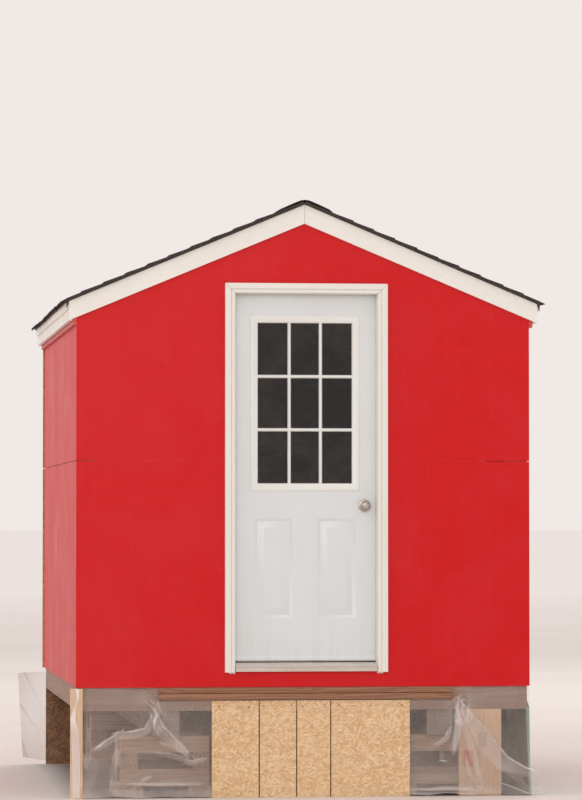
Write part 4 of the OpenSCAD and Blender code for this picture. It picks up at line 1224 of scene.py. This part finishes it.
def leaf_skin(leaf, y, out):
    """One face of the leaf at y; out is the way that it faces along Y."""
    panels = [((leaf_mid_x + s * panel_mid - panel_wide / 2, panel_low),
               (leaf_mid_x + s * panel_mid + panel_wide / 2, panel_high)) for s in (-1, 1)]
    window = ((pane_lo.x - 0.001, pane_lo.z - 0.001), (pane_hi.x + 0.001, pane_hi.z + 0.001))
    holes = panels + [window]
    xs = sorted({leaf_lo.x, leaf_hi.x, *[h[k][0] for h in holes for k in (0, 1)]})
    zs = sorted({leaf_lo.z, leaf_hi.z, *[h[k][1] for h in holes for k in (0, 1)]})
    for x0, x1 in zip(xs, xs[1:]):
        for z0, z1 in zip(zs, zs[1:]):
            mid = ((x0 + x1) / 2, (z0 + z1) / 2)
            if any(h[0][0] < mid[0] < h[1][0] and h[0][1] < mid[1] < h[1][1] for h in holes):
                continue
            leaf.add([(x0, y, z0), (x1, y, z0), (x1, y, z1), (x0, y, z1)], [[0, 1, 2, 3]])
    for low, high in panels:
        rings = [[(x, y + out * push, z) for x, z in ring_corners(low, high, inset)]
                 for inset, push in PROFILE]
        first = len(leaf.points)
        leaf.rows(rings, closed=True)
        leaf.faces.append([first + 4 * (len(PROFILE) - 1) + i for i in range(4)])
    return window


def press_leaf():
    leaf = Pieces()
    window = leaf_skin(leaf, leaf_lo.y, -1)
    leaf_skin(leaf, leaf_hi.y, 1)
    for corners in (ring_corners((leaf_lo.x, leaf_lo.z), (leaf_hi.x, leaf_hi.z), 0.0),
                    ring_corners(*window, 0.0)):
        leaf.rows([[(x, leaf_lo.y, z) for x, z in corners], [(x, leaf_hi.y, z) for x, z in corners]],
                  closed=True)
    return leaf


leaf = finish_piece("pressed_leaf", press_leaf(), "door", white_enamel, smooth=30,
                    closed=False)
shell = bmesh.new()
shell.from_mesh(leaf.data)
bmesh.ops.remove_doubles(shell, verts=shell.verts, dist=0.00005)
bmesh.ops.recalc_face_normals(shell, faces=shell.faces)
shell.to_mesh(leaf.data)
shell.free()
leaf.data.set_sharp_from_angle(angle=math.radians(28))
round_edges(leaf, 0.0018, angle=60)
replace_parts(leaf, "door_leaf")

# %% [markdown]
# At the leaf's foot a white vinyl strip covers the sweep, and the wooden sill under it has a planted nosing
# whose rounded edge throws a thin line of shadow across the doorway.

# %% Kick strip and sill nosing
KICK = ((0.0, 0.001), (0.0026, 0.001), (0.0030, 0.004), (0.0024, 0.022), (0.0008, 0.0255), (0.0, 0.0255))
NOSING = ((-0.0040, 0.0), (0.0030, 0.0), (0.0042, 0.0012), (0.0042, 0.0030), (0.0028, 0.0048),
          (-0.0040, 0.0062))
CASING_COVERS = 0.0545
kick = Pieces()
kick.rod([[(x, leaf_lo.y - out, leaf_lo.z + up) for out, up in KICK]
          for x in (leaf_lo.x + 0.010, leaf_hi.x - 0.010)])
finish_piece("kick_strip", kick, "door", white_plastic, smooth=30)
sill_lo, sill_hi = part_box("threshold")
nosing = Pieces()
nosing_low = sill_hi.z - 0.0215
nosing.rod([[(x, sill_lo.y - out, nosing_low + up) for out, up in NOSING]
            for x in (case_lo.x + CASING_COVERS, case_hi.x - CASING_COVERS)])
finish_piece("sill_nosing", nosing, "hut", sill_paint, smooth=30)

# %% [markdown]
# ## Glazing frame and bars
# The window is held by a moulded frame on each face. Its section is swept round the opening with square
# mitred corners. Two upright and two level bars, chamfered on both edges, divide the glass into nine panes;
# there is a set outside and one inside.

# %% Mitred moulding and glazing bars
BAR, FRAME_WIDE, BED = 0.0182, 0.042, -0.0125
see_lo = Vector((lite_lo.x + FRAME_WIDE, 0, lite_lo.z + FRAME_WIDE))
see_hi = Vector((lite_hi.x - FRAME_WIDE, 0, lite_hi.z - FRAME_WIDE))
MOULD = ((0.0, 0.0), (0.0006, 0.0026), (0.003, 0.0042), (0.008, 0.0050), (0.014, 0.0049), (0.018, 0.0042),
         (0.028, 0.0036), (0.034, 0.0022), (0.039, -0.0002), (FRAME_WIDE, BED))


def glaze(face_y, out):
    """The frame and bars on one face of the leaf; heights are measured outward from the leaf's face."""
    mould = Pieces()
    rings = [[(x, face_y + out * rise, z) for x, z in
              ring_corners((lite_lo.x, lite_lo.z), (lite_hi.x, lite_hi.z), inset)] for inset, rise in MOULD]
    back = [(x, face_y + out * BED, z) for x, z in
            ring_corners((pane_lo.x, pane_lo.z), (pane_hi.x, pane_hi.z), 0.001)]
    lip = [(x, face_y, z) for x, z in ring_corners((pane_lo.x, pane_lo.z), (pane_hi.x, pane_hi.z), 0.001)]
    mould.rows(rings + [back, lip, rings[0]], closed=True)
    for k in (1, 2):
        x = see_lo.x + (see_hi.x - see_lo.x) * k / 3
        z = see_lo.z + (see_hi.z - see_lo.z) * k / 3
        add_bar(mould, (x, see_lo.z - 0.004), (x, see_hi.z + 0.004), face_y, out, False, -0.002)
        add_bar(mould, (see_lo.x - 0.004, z), (see_hi.x + 0.004, z), face_y, out, True, -0.0015)
    return mould


def add_bar(mould, start, end, face_y, out, level, crest):
    rows = []
    for share in (0.0, 1.0):
        x = start[0] + (end[0] - start[0]) * share
        z = start[1] + (end[1] - start[1]) * share
        section = ((-1, BED), (-1, -0.0085), (-0.55, crest - 0.0014), (-0.3, crest), (0.3, crest),
                   (0.55, crest - 0.0014), (1, -0.0085), (1, BED))
        wide_x, wide_z = (0, BAR / 2) if level else (BAR / 2, 0)
        rows.append([(x + wide_x * s, face_y + out * rise, z + wide_z * s) for s, rise in section])
    mould.rod(rows)


outer_mould = finish_piece("outer_glazing_frame", glaze(leaf_lo.y, -1), "door", bar_plastic,
                           smooth=40)
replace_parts(outer_mould, "glazing_frames")
finish_piece("inner_glazing_frame", glaze(leaf_hi.y, 1), "door", bar_plastic, smooth=40)

# %% [markdown]
# ## Knob
# A turned knob: a rosette that steps up to a collar, a waisted neck, and a rounded grip with a flat face.
# Outside it holds the key cylinder, inside a turn button. Everything round comes from one outline spun on
# the lathe.

# %% Knob, rosettes and latch
knob_lo, knob_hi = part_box("knob")
knob_at = Vector(((knob_lo.x + knob_hi.x) / 2, 0, (knob_lo.z + knob_hi.z) / 2))
ROSETTE = ((0.0125, 0.0002), (0.033, 0.0002), (0.033, 0.0022), (0.0318, 0.0040), (0.0285, 0.0052),
           (0.0262, 0.0050), (0.0240, 0.0062), (0.0200, 0.0076), (0.0150, 0.0080), (0.0125, 0.0078))
GRIP = ((0.0110, 0.0005), (0.0112, 0.0130), (0.0105, 0.0175), (0.0118, 0.0215), (0.0165, 0.0245),
        (0.0222, 0.0290), (0.0252, 0.0345), (0.0264, 0.0405), (0.0256, 0.0470), (0.0228, 0.0530),
        (0.0190, 0.0572), (0.0152, 0.0592), (0.0128, 0.0595), (0.0122, 0.0580), (0.0090, 0.0578))


def facing(y, out):
    """A place at the knob's axis whose Z axis points out of the leaf."""
    turn = Vector((0, out, 0)).to_track_quat("Z", "Y").to_matrix().to_4x4()
    return Matrix.Translation((knob_at.x, y, knob_at.z)) @ turn


plates, grips = Pieces(), Pieces()
for y, out in ((leaf_lo.y, -1), (leaf_hi.y, 1)):
    place = facing(y, out)
    rows = [[place @ Vector((r * math.cos(a), r * math.sin(a), h))
             for a in (2 * math.pi * s / 64 for s in range(64))] for r, h in ROSETTE]
    plates.rows(rows + rows[:1], closed=True)
    grips.turned(GRIP, place, steps=64)
outside, inside = facing(leaf_lo.y, -1), facing(leaf_hi.y, 1)
grips.turned([(0.0080, 0.0570), (0.0080, 0.0598), (0.0074, 0.0602), (0.0020, 0.0602)], outside, steps=40)
grips.block((-0.0012, -0.0045, 0.0598), (0.0012, 0.0045, 0.0606), outside)
grips.turned([(0.0048, 0.0570), (0.0048, 0.0600), (0.0040, 0.0612), (0.0010, 0.0614)], inside, steps=24)
grips.block((-0.0022, -0.0085, 0.0605), (0.0022, 0.0085, 0.0660), inside)
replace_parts(finish_piece("turned_rosettes", plates, "door", nickel, smooth=50), "rosettes")
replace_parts(finish_piece("turned_knob", grips, "knob", nickel, smooth=50), "knob")

# %% [markdown]
# Small steel plates sit in the leaf's edge and in the jamb, where the latch goes in. They are thin blocks
# that stand a hair proud. Each hinge leaf has three screws, one set on the door and one on the hut.

# %% Latch and strike plates, hinge screws
latch = Pieces()
latch.block((leaf_hi.x - 0.0004, leaf_lo.y + 0.0095, knob_at.z - 0.0285),
            (leaf_hi.x + 0.0012, leaf_lo.y + 0.0345, knob_at.z + 0.0285))
finish_piece("latch_plate", latch, "door", hinge_steel, edge=0.0004)
strike = Pieces()
jamb_x = leaf_hi.x + 0.005
strike.block((jamb_x - 0.0012, leaf_lo.y + 0.006, knob_at.z - 0.035),
             (jamb_x + 0.0004, leaf_lo.y + 0.038, knob_at.z + 0.035))
finish_piece("strike_plate", strike, "hut", hinge_steel, edge=0.0004)
plate_screws = {"hut": Pieces(), "door": Pieces()}
HINGE_FEET = (leaf_lo.z + 0.18, (leaf_lo.z + leaf_hi.z) / 2 - 0.0445, leaf_hi.z - 0.269)
for foot in HINGE_FEET:
    for up in (0.014, 0.0445, 0.075):
        for body, x, out in (("hut", leaf_lo.x - 0.005 + 0.0019, 1), ("door", leaf_lo.x - 0.0019, -1)):
            nail_head(plate_screws[body], (x, leaf_hi.y - 0.02, foot + up), (out, 0, 0), 0.0038, 0.0005)
for body, screws in plate_screws.items():
    finish_piece(body + "_hinge_screws", screws, body, nail_zinc)

# %% [markdown]
# ## Skirt nails and loose blocks
# The skirts were put up in a hurry. Nails sit unevenly along the cleats and the board tops, and behind the
# film at the right lie two offcuts, one of them reddish, that were used as shims.

# %% Skirt nails and shims
cleat_lo, cleat_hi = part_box("skirt_cleats")
board_lo, board_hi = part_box("board_skirts")
dice = random.Random(33)
skirt_nails = Pieces()
x = cleat_lo.x + 0.05
while x < cleat_hi.x:
    upper, lower = cleat_hi.z - 0.015 + jitter(dice, 0.004), cleat_lo.z + 0.014 + jitter(dice, 0.004)
    nail_head(skirt_nails, (x, cleat_lo.y + 0.006, upper), (0, -1, 0))
    nail_head(skirt_nails, (x + 0.08, cleat_lo.y, lower), (0, -1, 0))
    x += dice.uniform(0.22, 0.32)
for x in (-0.46, -0.30, -0.22, -0.07, -0.01, 0.11, 0.19, 0.36, 0.53):
    nail_head(skirt_nails, (x, board_lo.y, board_hi.z - 0.03 + jitter(dice, 0.008)), (0, -1, 0), 0.0045)
finish_piece("skirt_nails", skirt_nails, "hut", nail_zinc)
red_shim = lumber("red_shim_wood", ALONG_Z, tone(228, 150, 118), tone(198, 112, 84), snow=0.1, figure=0.4)
tan_shim = lumber("tan_shim_wood", ALONG_Z, tone(196, 160, 120), tone(166, 130, 92), snow=0.1, figure=0.4)
for name, material, (left, right), (low, high) in (
    ("red_shim", red_shim, (0.874, 0.922), (0.158, 0.245)),
    ("tan_shim", tan_shim, (0.955, 0.998), (0.262, 0.340)),
):
    shim = Pieces()
    shim.block((left, frame_front - 0.0125, low), (right, frame_front - 0.0005, high))
    finish_piece(name, shim, "hut", material, edge=0.002)

# %% [markdown]
# ## Plastic film skirts
# Film is nailed along its top edge and bunched up where a nail holds too much of it. From the bunch it
# pulls into long sharp folds, each a straight crest with one broad flank and one steep one, like the side
# of a tent. A sheet here is a fine grid; each fold lists the points of its crest, measured from the bunch,
# and lifts the grid towards them. What lies near a crest, and veins round the bunch, is also written down
# as `crease_and_highlight`, which the finish turns white: partly film whitened by creasing and partly a
# painted highlight.

# %% Folds of a sheet
def fold_at(x, z, crest, right_flank, left_flank):
    """Nearness to a crest line, 1 on it and 0 past its flanks, the distance, and the share of its length."""
    best = (0.0, 9.0, 0.0)
    lengths = [math.dist(a, b) for a, b in zip(crest, crest[1:])]
    done, total = 0.0, sum(lengths)
    for (ax, az), (bx, bz), run in zip(crest, crest[1:], lengths):
        ux, uz = (bx - ax) / run, (bz - az) / run
        along = min(run, max(0.0, (x - ax) * ux + (z - az) * uz))
        dx, dz = x - ax - along * ux, z - az - along * uz
        far = math.hypot(dx, dz)
        near = 1 - far / (right_flank if dx * uz - dz * ux > 0 else left_flank)
        if near > best[0]:
            best = (near, far, (done + along) / total)
        done += run
    return best


def folded(x, z, bunch, folds, seed):
    """How far the sheet stands off there, and how white it is painted: crease whitening and painted
    highlight.
    """
    x, z = x - bunch[0], z - bunch[1]
    height, crease_and_highlight = 0.0, 0.0
    for crest, right_flank, left_flank, rise, white in folds:
        near, far, share = fold_at(x, z, crest, right_flank, left_flank)
        if near <= 0:
            continue
        fade = min(1.0, 0.35 + share * 2.5) * min(1.0, (1 - share) / 0.15 + 0.05)
        height = max(height, rise * near ** 1.15 * fade)
        # White on the crest line and on the flank next to it: partly crease whitening, partly a painted
        # highlight.
        patchy = 0.65 + 0.9 * noise.noise((x * 16, z * 16, seed))
        line = 0.62 * math.exp(-(far / 0.0042) ** 2) * max(0.1, patchy)
        band = 0.30 + 0.70 * math.sin(math.pi * share ** 0.8)
        mottle = 0.75 + 0.5 * noise.noise((x * 7, z * 7, seed))
        plane = 0.40 * min(1.0, max(0.0, (near - 1 + 0.5 * band) / 0.12)) * mottle
        crease_and_highlight = max(crease_and_highlight, white * fade * max(line, plane))
    # Veins painted white round the bunch: partly crumpled film, partly a painted highlight.
    pinch = math.exp(-(math.hypot(x - 0.012, (z + 0.055) * 0.62) / 0.050) ** 2)
    vein = 1 - min(1.0, abs(noise.noise((x * 34 + z * 9, z * 15, seed))) * 7)
    wide_vein = 1 - min(1.0, abs(noise.noise((x * 15, z * 8 - x * 5, seed + 4))) * 5)
    crease_and_highlight += pinch * (0.55 * vein + 0.35 * wide_vein)
    return height + 0.012 * pinch * (vein + wide_vein), min(1.0, crease_and_highlight)


print("fold helpers ready")

# %% [markdown]
# Every sheet is laid the same way: a function says where each point of the grid is and how white it is
# painted, partly crease whitening and partly painted highlight.

# %% Laying a sheet
def lay_film(name, node, columns, rows, place, material):
    """A grid whose points come from place(u, v) as x, y, z and crease_and_highlight."""
    grid = Pieces()
    spots = [[place(c / (columns - 1), r / (rows - 1)) for c in range(columns)] for r in range(rows)]
    grid.rows([[spot[:3] for spot in row] for row in spots])
    sheet = finish_piece(name, grid, "hut", material, smooth=180, closed=False)
    crease_and_highlight_layer = sheet.data.attributes.new("crease_and_highlight", "FLOAT", "POINT")
    crease_and_highlight_layer.data.foreach_set("value", [spot[3] for row in spots for spot in row])
    if node:
        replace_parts(sheet, node)
    return sheet


print("sheet helper ready")

# %% [markdown]
# The two front sheets hang from the floor frame, and from the cleats where the board skirts begin. A
# function makes the place function for either one. `flare` pulls the right one sideways past the corner.

# %% Front sheets
def front_film(node, bunch, folds, seed, left, right, flare):
    """A sheet from left to right on the front of the floor frame; flare(u, v) pulls it sideways."""
    lo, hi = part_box(node)
    high, low = hi.z, board_hi.z + 0.003
    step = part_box("skirt_cleats")[LOW if bunch[0] < 0 else HIGH].x

    def place(u, v):
        x = left + (right - left) * u
        outer = (x < step) if bunch[0] < 0 else (x > step)
        top = low + (high - low) * min(1.0, abs(x - step) / 0.09) if outer else low
        foot = 0.005 + 0.016 * abs(noise.noise((x * 4.5, seed, 0)))
        z = top + (foot - top) * v
        off, crease_and_highlight = folded(x, z, bunch, folds, seed)
        off += 0.014 * (noise.noise((x * 2.6, z * 2.6, seed)) + 0.6) * min(1, v * 4)
        off += 0.0010 * noise.noise((x * 30, z * 30, seed)) * min(1, v * 6)
        off += 0.030 * max(0.0, v - 0.93) / 0.07 * (1 + noise.noise((x * 6, 0, seed)))
        return (x + flare(u, v), frame_front - 0.0012 - max(0.0, off), z, crease_and_highlight)
    return place


print("front sheet helper ready")

# %% [markdown]
# The folds of each front sheet: the crest's points from the bunch as (x, z) in metres, how far its right
# and left flanks reach, how far the crest stands off, and how white it is painted along it, partly crease
# whitening and partly painted highlight.

# %% Folds of the front sheets
LEFT_BUNCH, RIGHT_BUNCH = (-0.817, 0.508), (0.842, 0.522)
LEFT_FOLDS = (
    (((0.0, -0.04), (-0.045, -0.137), (-0.105, -0.150), (-0.190, -0.157), (-0.260, -0.205), (-0.342, -0.266)),
     0.010, 0.085, 0.036, 0.95),
    (((0.006, -0.03), (0.050, -0.125), (0.115, -0.190), (0.165, -0.240), (0.205, -0.305)), 0.120, 0.012,
     0.036, 0.95),
    (((0.030, -0.205), (0.075, -0.222), (0.110, -0.224)), 0.034, 0.012, 0.016, 1.0),
    (((0.005, -0.266), (0.080, -0.268), (0.140, -0.280), (0.200, -0.312), (0.300, -0.296)), 0.060, 0.010,
     0.020, 0.75),
    (((-0.080, -0.434), (-0.045, -0.404), (-0.005, -0.390)), 0.040, 0.014, 0.012, 0.6),
    (((-0.225, -0.430), (0.040, -0.438), (0.312, -0.436)), 0.010, 0.022, 0.016, 0.85),
    (((-0.330, -0.270), (-0.350, -0.350), (-0.352, -0.480)), 0.090, 0.120, 0.010, 0.30),
    (((-0.180, -0.180), (-0.205, -0.330), (-0.235, -0.470)), 0.050, 0.030, 0.012, 0.45),
)
RIGHT_FOLDS = (
    (((0.008, -0.010), (0.080, -0.095), (0.150, -0.172), (0.257, -0.313), (0.350, -0.368), (0.460, -0.418)),
     0.210, 0.009, 0.044, 0.95),
    (((0.0, -0.040), (0.024, -0.135), (0.066, -0.235), (0.100, -0.365), (0.131, -0.505)), 0.060, 0.024,
     0.034, 0.8),
    (((-0.006, -0.010), (-0.004, -0.110), (-0.022, -0.230), (-0.036, -0.307)), 0.034, 0.060, 0.034, 0.95),
    (((-0.040, -0.140), (-0.068, -0.205), (-0.110, -0.238), (-0.150, -0.252)), 0.022, 0.040, 0.018, 0.7),
    (((0.050, -0.130), (0.074, -0.175), (0.082, -0.235)), 0.020, 0.020, 0.016, 0.8),
    (((0.018, -0.205), (0.055, -0.212), (0.082, -0.200)), 0.014, 0.014, 0.010, 0.8),
    (((0.036, -0.300), (0.052, -0.400), (0.105, -0.470), (0.124, -0.505)), 0.020, 0.034, 0.016, 0.6),
    (((-0.265, -0.492), (-0.060, -0.488), (0.125, -0.496)), 0.010, 0.024, 0.012, 0.6),
    (((0.215, -0.300), (0.290, -0.400), (0.350, -0.500)), 0.060, 0.030, 0.012, 0.35),
)


def corner_flare(u, v):
    """Past the corner the sheet stands out, but only below the long fold."""
    return 0.066 * max(0.0, u - 0.80) / 0.20 * min(1.0, max(0.0, (v - 0.76) / 0.06))


def no_flare(u, v):
    return 0.0


for node, bunch, folds, seed, right, flare in (
    ("plastic_front_left", LEFT_BUNCH, LEFT_FOLDS, 4.0, -0.504, no_flare),
    ("plastic_front_right", RIGHT_BUNCH, RIGHT_FOLDS, 8.0, right_face + 0.002, corner_flare),
):
    place = front_film(node, bunch, folds, seed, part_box(node)[LOW].x, right, flare)
    lay_film(node.replace("plastic", "film"), node, 190, 160, place,
             clear_film)

# %% [markdown]
# The sheet on the right wall is a greener film. It is folded a finger's breadth round the front corner,
# runs the whole depth of the hut, swells towards its foot and is tucked in behind the back skirt. The one
# at the back left is short and loose, and its end blows out past the corner.

# %% Side and back film
side_lo, side_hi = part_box("plastic_right")
LAP = 0.024
TUCK_OUT, TUCK_IN = 0.016, 0.022
depth = side_hi.y - side_lo.y


def right_wall_film(u, v):
    along = (depth + LAP + TUCK_OUT + TUCK_IN) * u - LAP
    top = side_hi.z - 0.11 * math.exp(-max(0.0, along) / 0.10)
    z = top + (0.004 - top) * v
    if along < 0:
        lean = 0.012 + 0.024 * v
        return (side_lo.x + lean + along * (0.8 + 0.3 * v), side_lo.y - 0.003 - 0.004 * v, z, 0.10)
    swell = 0.016 * v + 0.016 * v * (noise.noise((along * 1.7, z * 1.2, 2.0)) + 0.5)
    folds = 0.007 * abs(math.sin(7 * along + 1.5 * noise.noise((along * 2, z * 2, 1.0)))) * v
    start = (0.011 + 0.008 * v) * math.exp(-along / 0.05)
    inward = max(0.0, along - depth - TUCK_OUT)
    pleat = math.sin(9.0 * along + 3.0 * noise.noise((along * 0.8, 0.0, 5.0)) + 0.5 * z)
    hung = 0.30 * max(0.0, pleat) ** 12 * (0.6 + noise.noise((along * 2.0, z * 2.5, 9.0)))
    return (side_lo.x + 0.001 + max(start, swell + folds) * (1 - inward / TUCK_IN) - inward,
            side_lo.y + min(along, depth + TUCK_OUT), z, max(0.0, hung) * (0.35 + 0.65 * v))


back_lo, back_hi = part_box("plastic_back")
reach_out = cad_box[LOW].x - 0.080


def back_film(u, v):
    loose = 1 - u
    x = back_hi.x + (reach_out - back_hi.x) * loose
    x += 0.03 * v * loose
    high = back_hi.z + 0.060 * loose - 0.020 * loose ** 6
    z = high + (0.006 + 0.04 * loose ** 4 - high) * v
    past = max(0.0, (-x + left_face) / 0.17)
    off = 0.006 + 0.016 * v * (noise.noise((x * 3, z * 2.5, 3.0)) + 0.5)
    pull = abs(noise.noise((x * 6 + z * 3, z * 1.4, 2.0)))
    return (x, back_lo.y + off - 0.060 * past * past + 0.012 * past * math.sin(9 * z + 5 * x), z,
            0.55 * past * math.exp(-(pull / 0.03) ** 2))


lay_film("film_right_wall", "plastic_right", 260, 60, right_wall_film,
         teal_film)
lay_film("film_back", "plastic_back", 110, 90, back_film, clear_film)

# %% [markdown]
# A strip torn from the front sheet hangs over the corner stake. It crosses the stake from right to left in
# one slow half twist, widens, and clings to the stake down to the ice.

# %% Twisted strip over the corner stake
post_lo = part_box("skirt_posts")[LOW]
strip_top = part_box("skirt_cleats")[HIGH].z - 0.004
STRIP_PATH = ((0.00, 0.036, 0.009), (0.08, 0.038, 0.009), (0.20, 0.018, 0.010), (0.27, 0.013, 0.013),
              (0.40, 0.024, 0.020), (0.70, 0.030, 0.021), (1.00, 0.030, 0.019))


def strip_at(share):
    """The strip's place across the stake and its half width, smoothly between the points of its path."""
    for (a, xa, wa), (b, xb, wb) in zip(STRIP_PATH, STRIP_PATH[1:]):
        if share <= b:
            t = (share - a) / (b - a)
            t = t * t * (3 - 2 * t)
            return xa + (xb - xa) * t, wa + (wb - wa) * t
    return STRIP_PATH[-1][1:]


def twisted_strip(u, v):
    across, half = strip_at(v)
    turn = 0.9 * math.exp(-((v - 0.13) / 0.09) ** 2)
    side = 2 * u - 1
    x = post_lo.x + across + half * side * math.cos(turn)
    y = post_lo.y - 0.004 - 0.006 * math.sin(math.pi * min(1, v * 2)) + half * side * math.sin(turn)
    y += 0.0015 * noise.noise((u * 4, v * 9, 1.0))
    edge = abs(side) ** 6
    return (x, min(y, post_lo.y - 0.0008), strip_top + (0.004 - strip_top) * v,
            (0.85 if v < 0.28 else 0.85 - 0.5 * min(1, (v - 0.28) / 0.1)) * (0.75 + 0.25 * edge))


lay_film("film_strip", None, 14, 120, twisted_strip, strip_film)

# %% [markdown]
# ## Floor
# A plain, pale floor, wide enough that its edge is lost in the overcast. It isn't part of the hut. Under
# the hut it carries a painted shadow: a darker patch where little light gets in.

# %% Floor
FLOOR_REACH = 900.0
floor_mesh = bpy.data.meshes.new("floor")
floor_mesh.from_pydata([(x, y, 0) for x, y in ((-1, -1), (1, -1), (1, 1), (-1, 1))], [], [[0, 1, 2, 3]])
floor_mesh.transform(Matrix.Scale(FLOOR_REACH, 4))
floor = bpy.data.objects.new("floor", floor_mesh)
bpy.context.scene.collection.objects.link(floor)
floor_paint, tree, shader, where = finish_start("floor_paint")
drifts = cloud(tree, where, 0.35, 5.0, 0.6)
fine = cloud(tree, where, 9.0, 6.0, 0.7)
pale = blend(tree, spread(tree, drifts, 0.35, 0.7), tone(222, 213, 208), tone(230, 222, 218))
spot = put(tree, "ShaderNodeSeparateXYZ", {"Vector": where}).outputs
# Painted shadow: the floor is painted dark inside the hut's footprint.
inside = calc(tree, "MULTIPLY", spread(tree, calc(tree, "ABSOLUTE", spot["X"], 0.0), 1.30, 1.05, 0.0, 1.0),
              spread(tree, calc(tree, "ABSOLUTE", spot["Y"], 0.0), 1.60, 1.42, 0.0, 1.0))
pale = blend(tree, inside, pale, tone(104, 92, 86))
far_off = put(tree, "ShaderNodeVectorMath", {0: where}, operation="LENGTH").outputs["Value"]
pale = blend(tree, spread(tree, far_off, 4.0, 60.0), pale, tone(250, 246, 244))
finish_end(tree, shader, pale, spread(tree, fine, 0.3, 0.7, 0.8, 0.95), fine, 0.01, 0.4)
floor_mesh.materials.append(floor_paint)
print("floor laid")

# %% [markdown]
# ## Sizes
# The frame's box is printed. The dressed model has to stay inside the frame's box, but for what soft film
# may stand proud.

# %% Write the frame's box
print("frame box ", [[round(c, 3) for c in corner] for corner in cad_box])
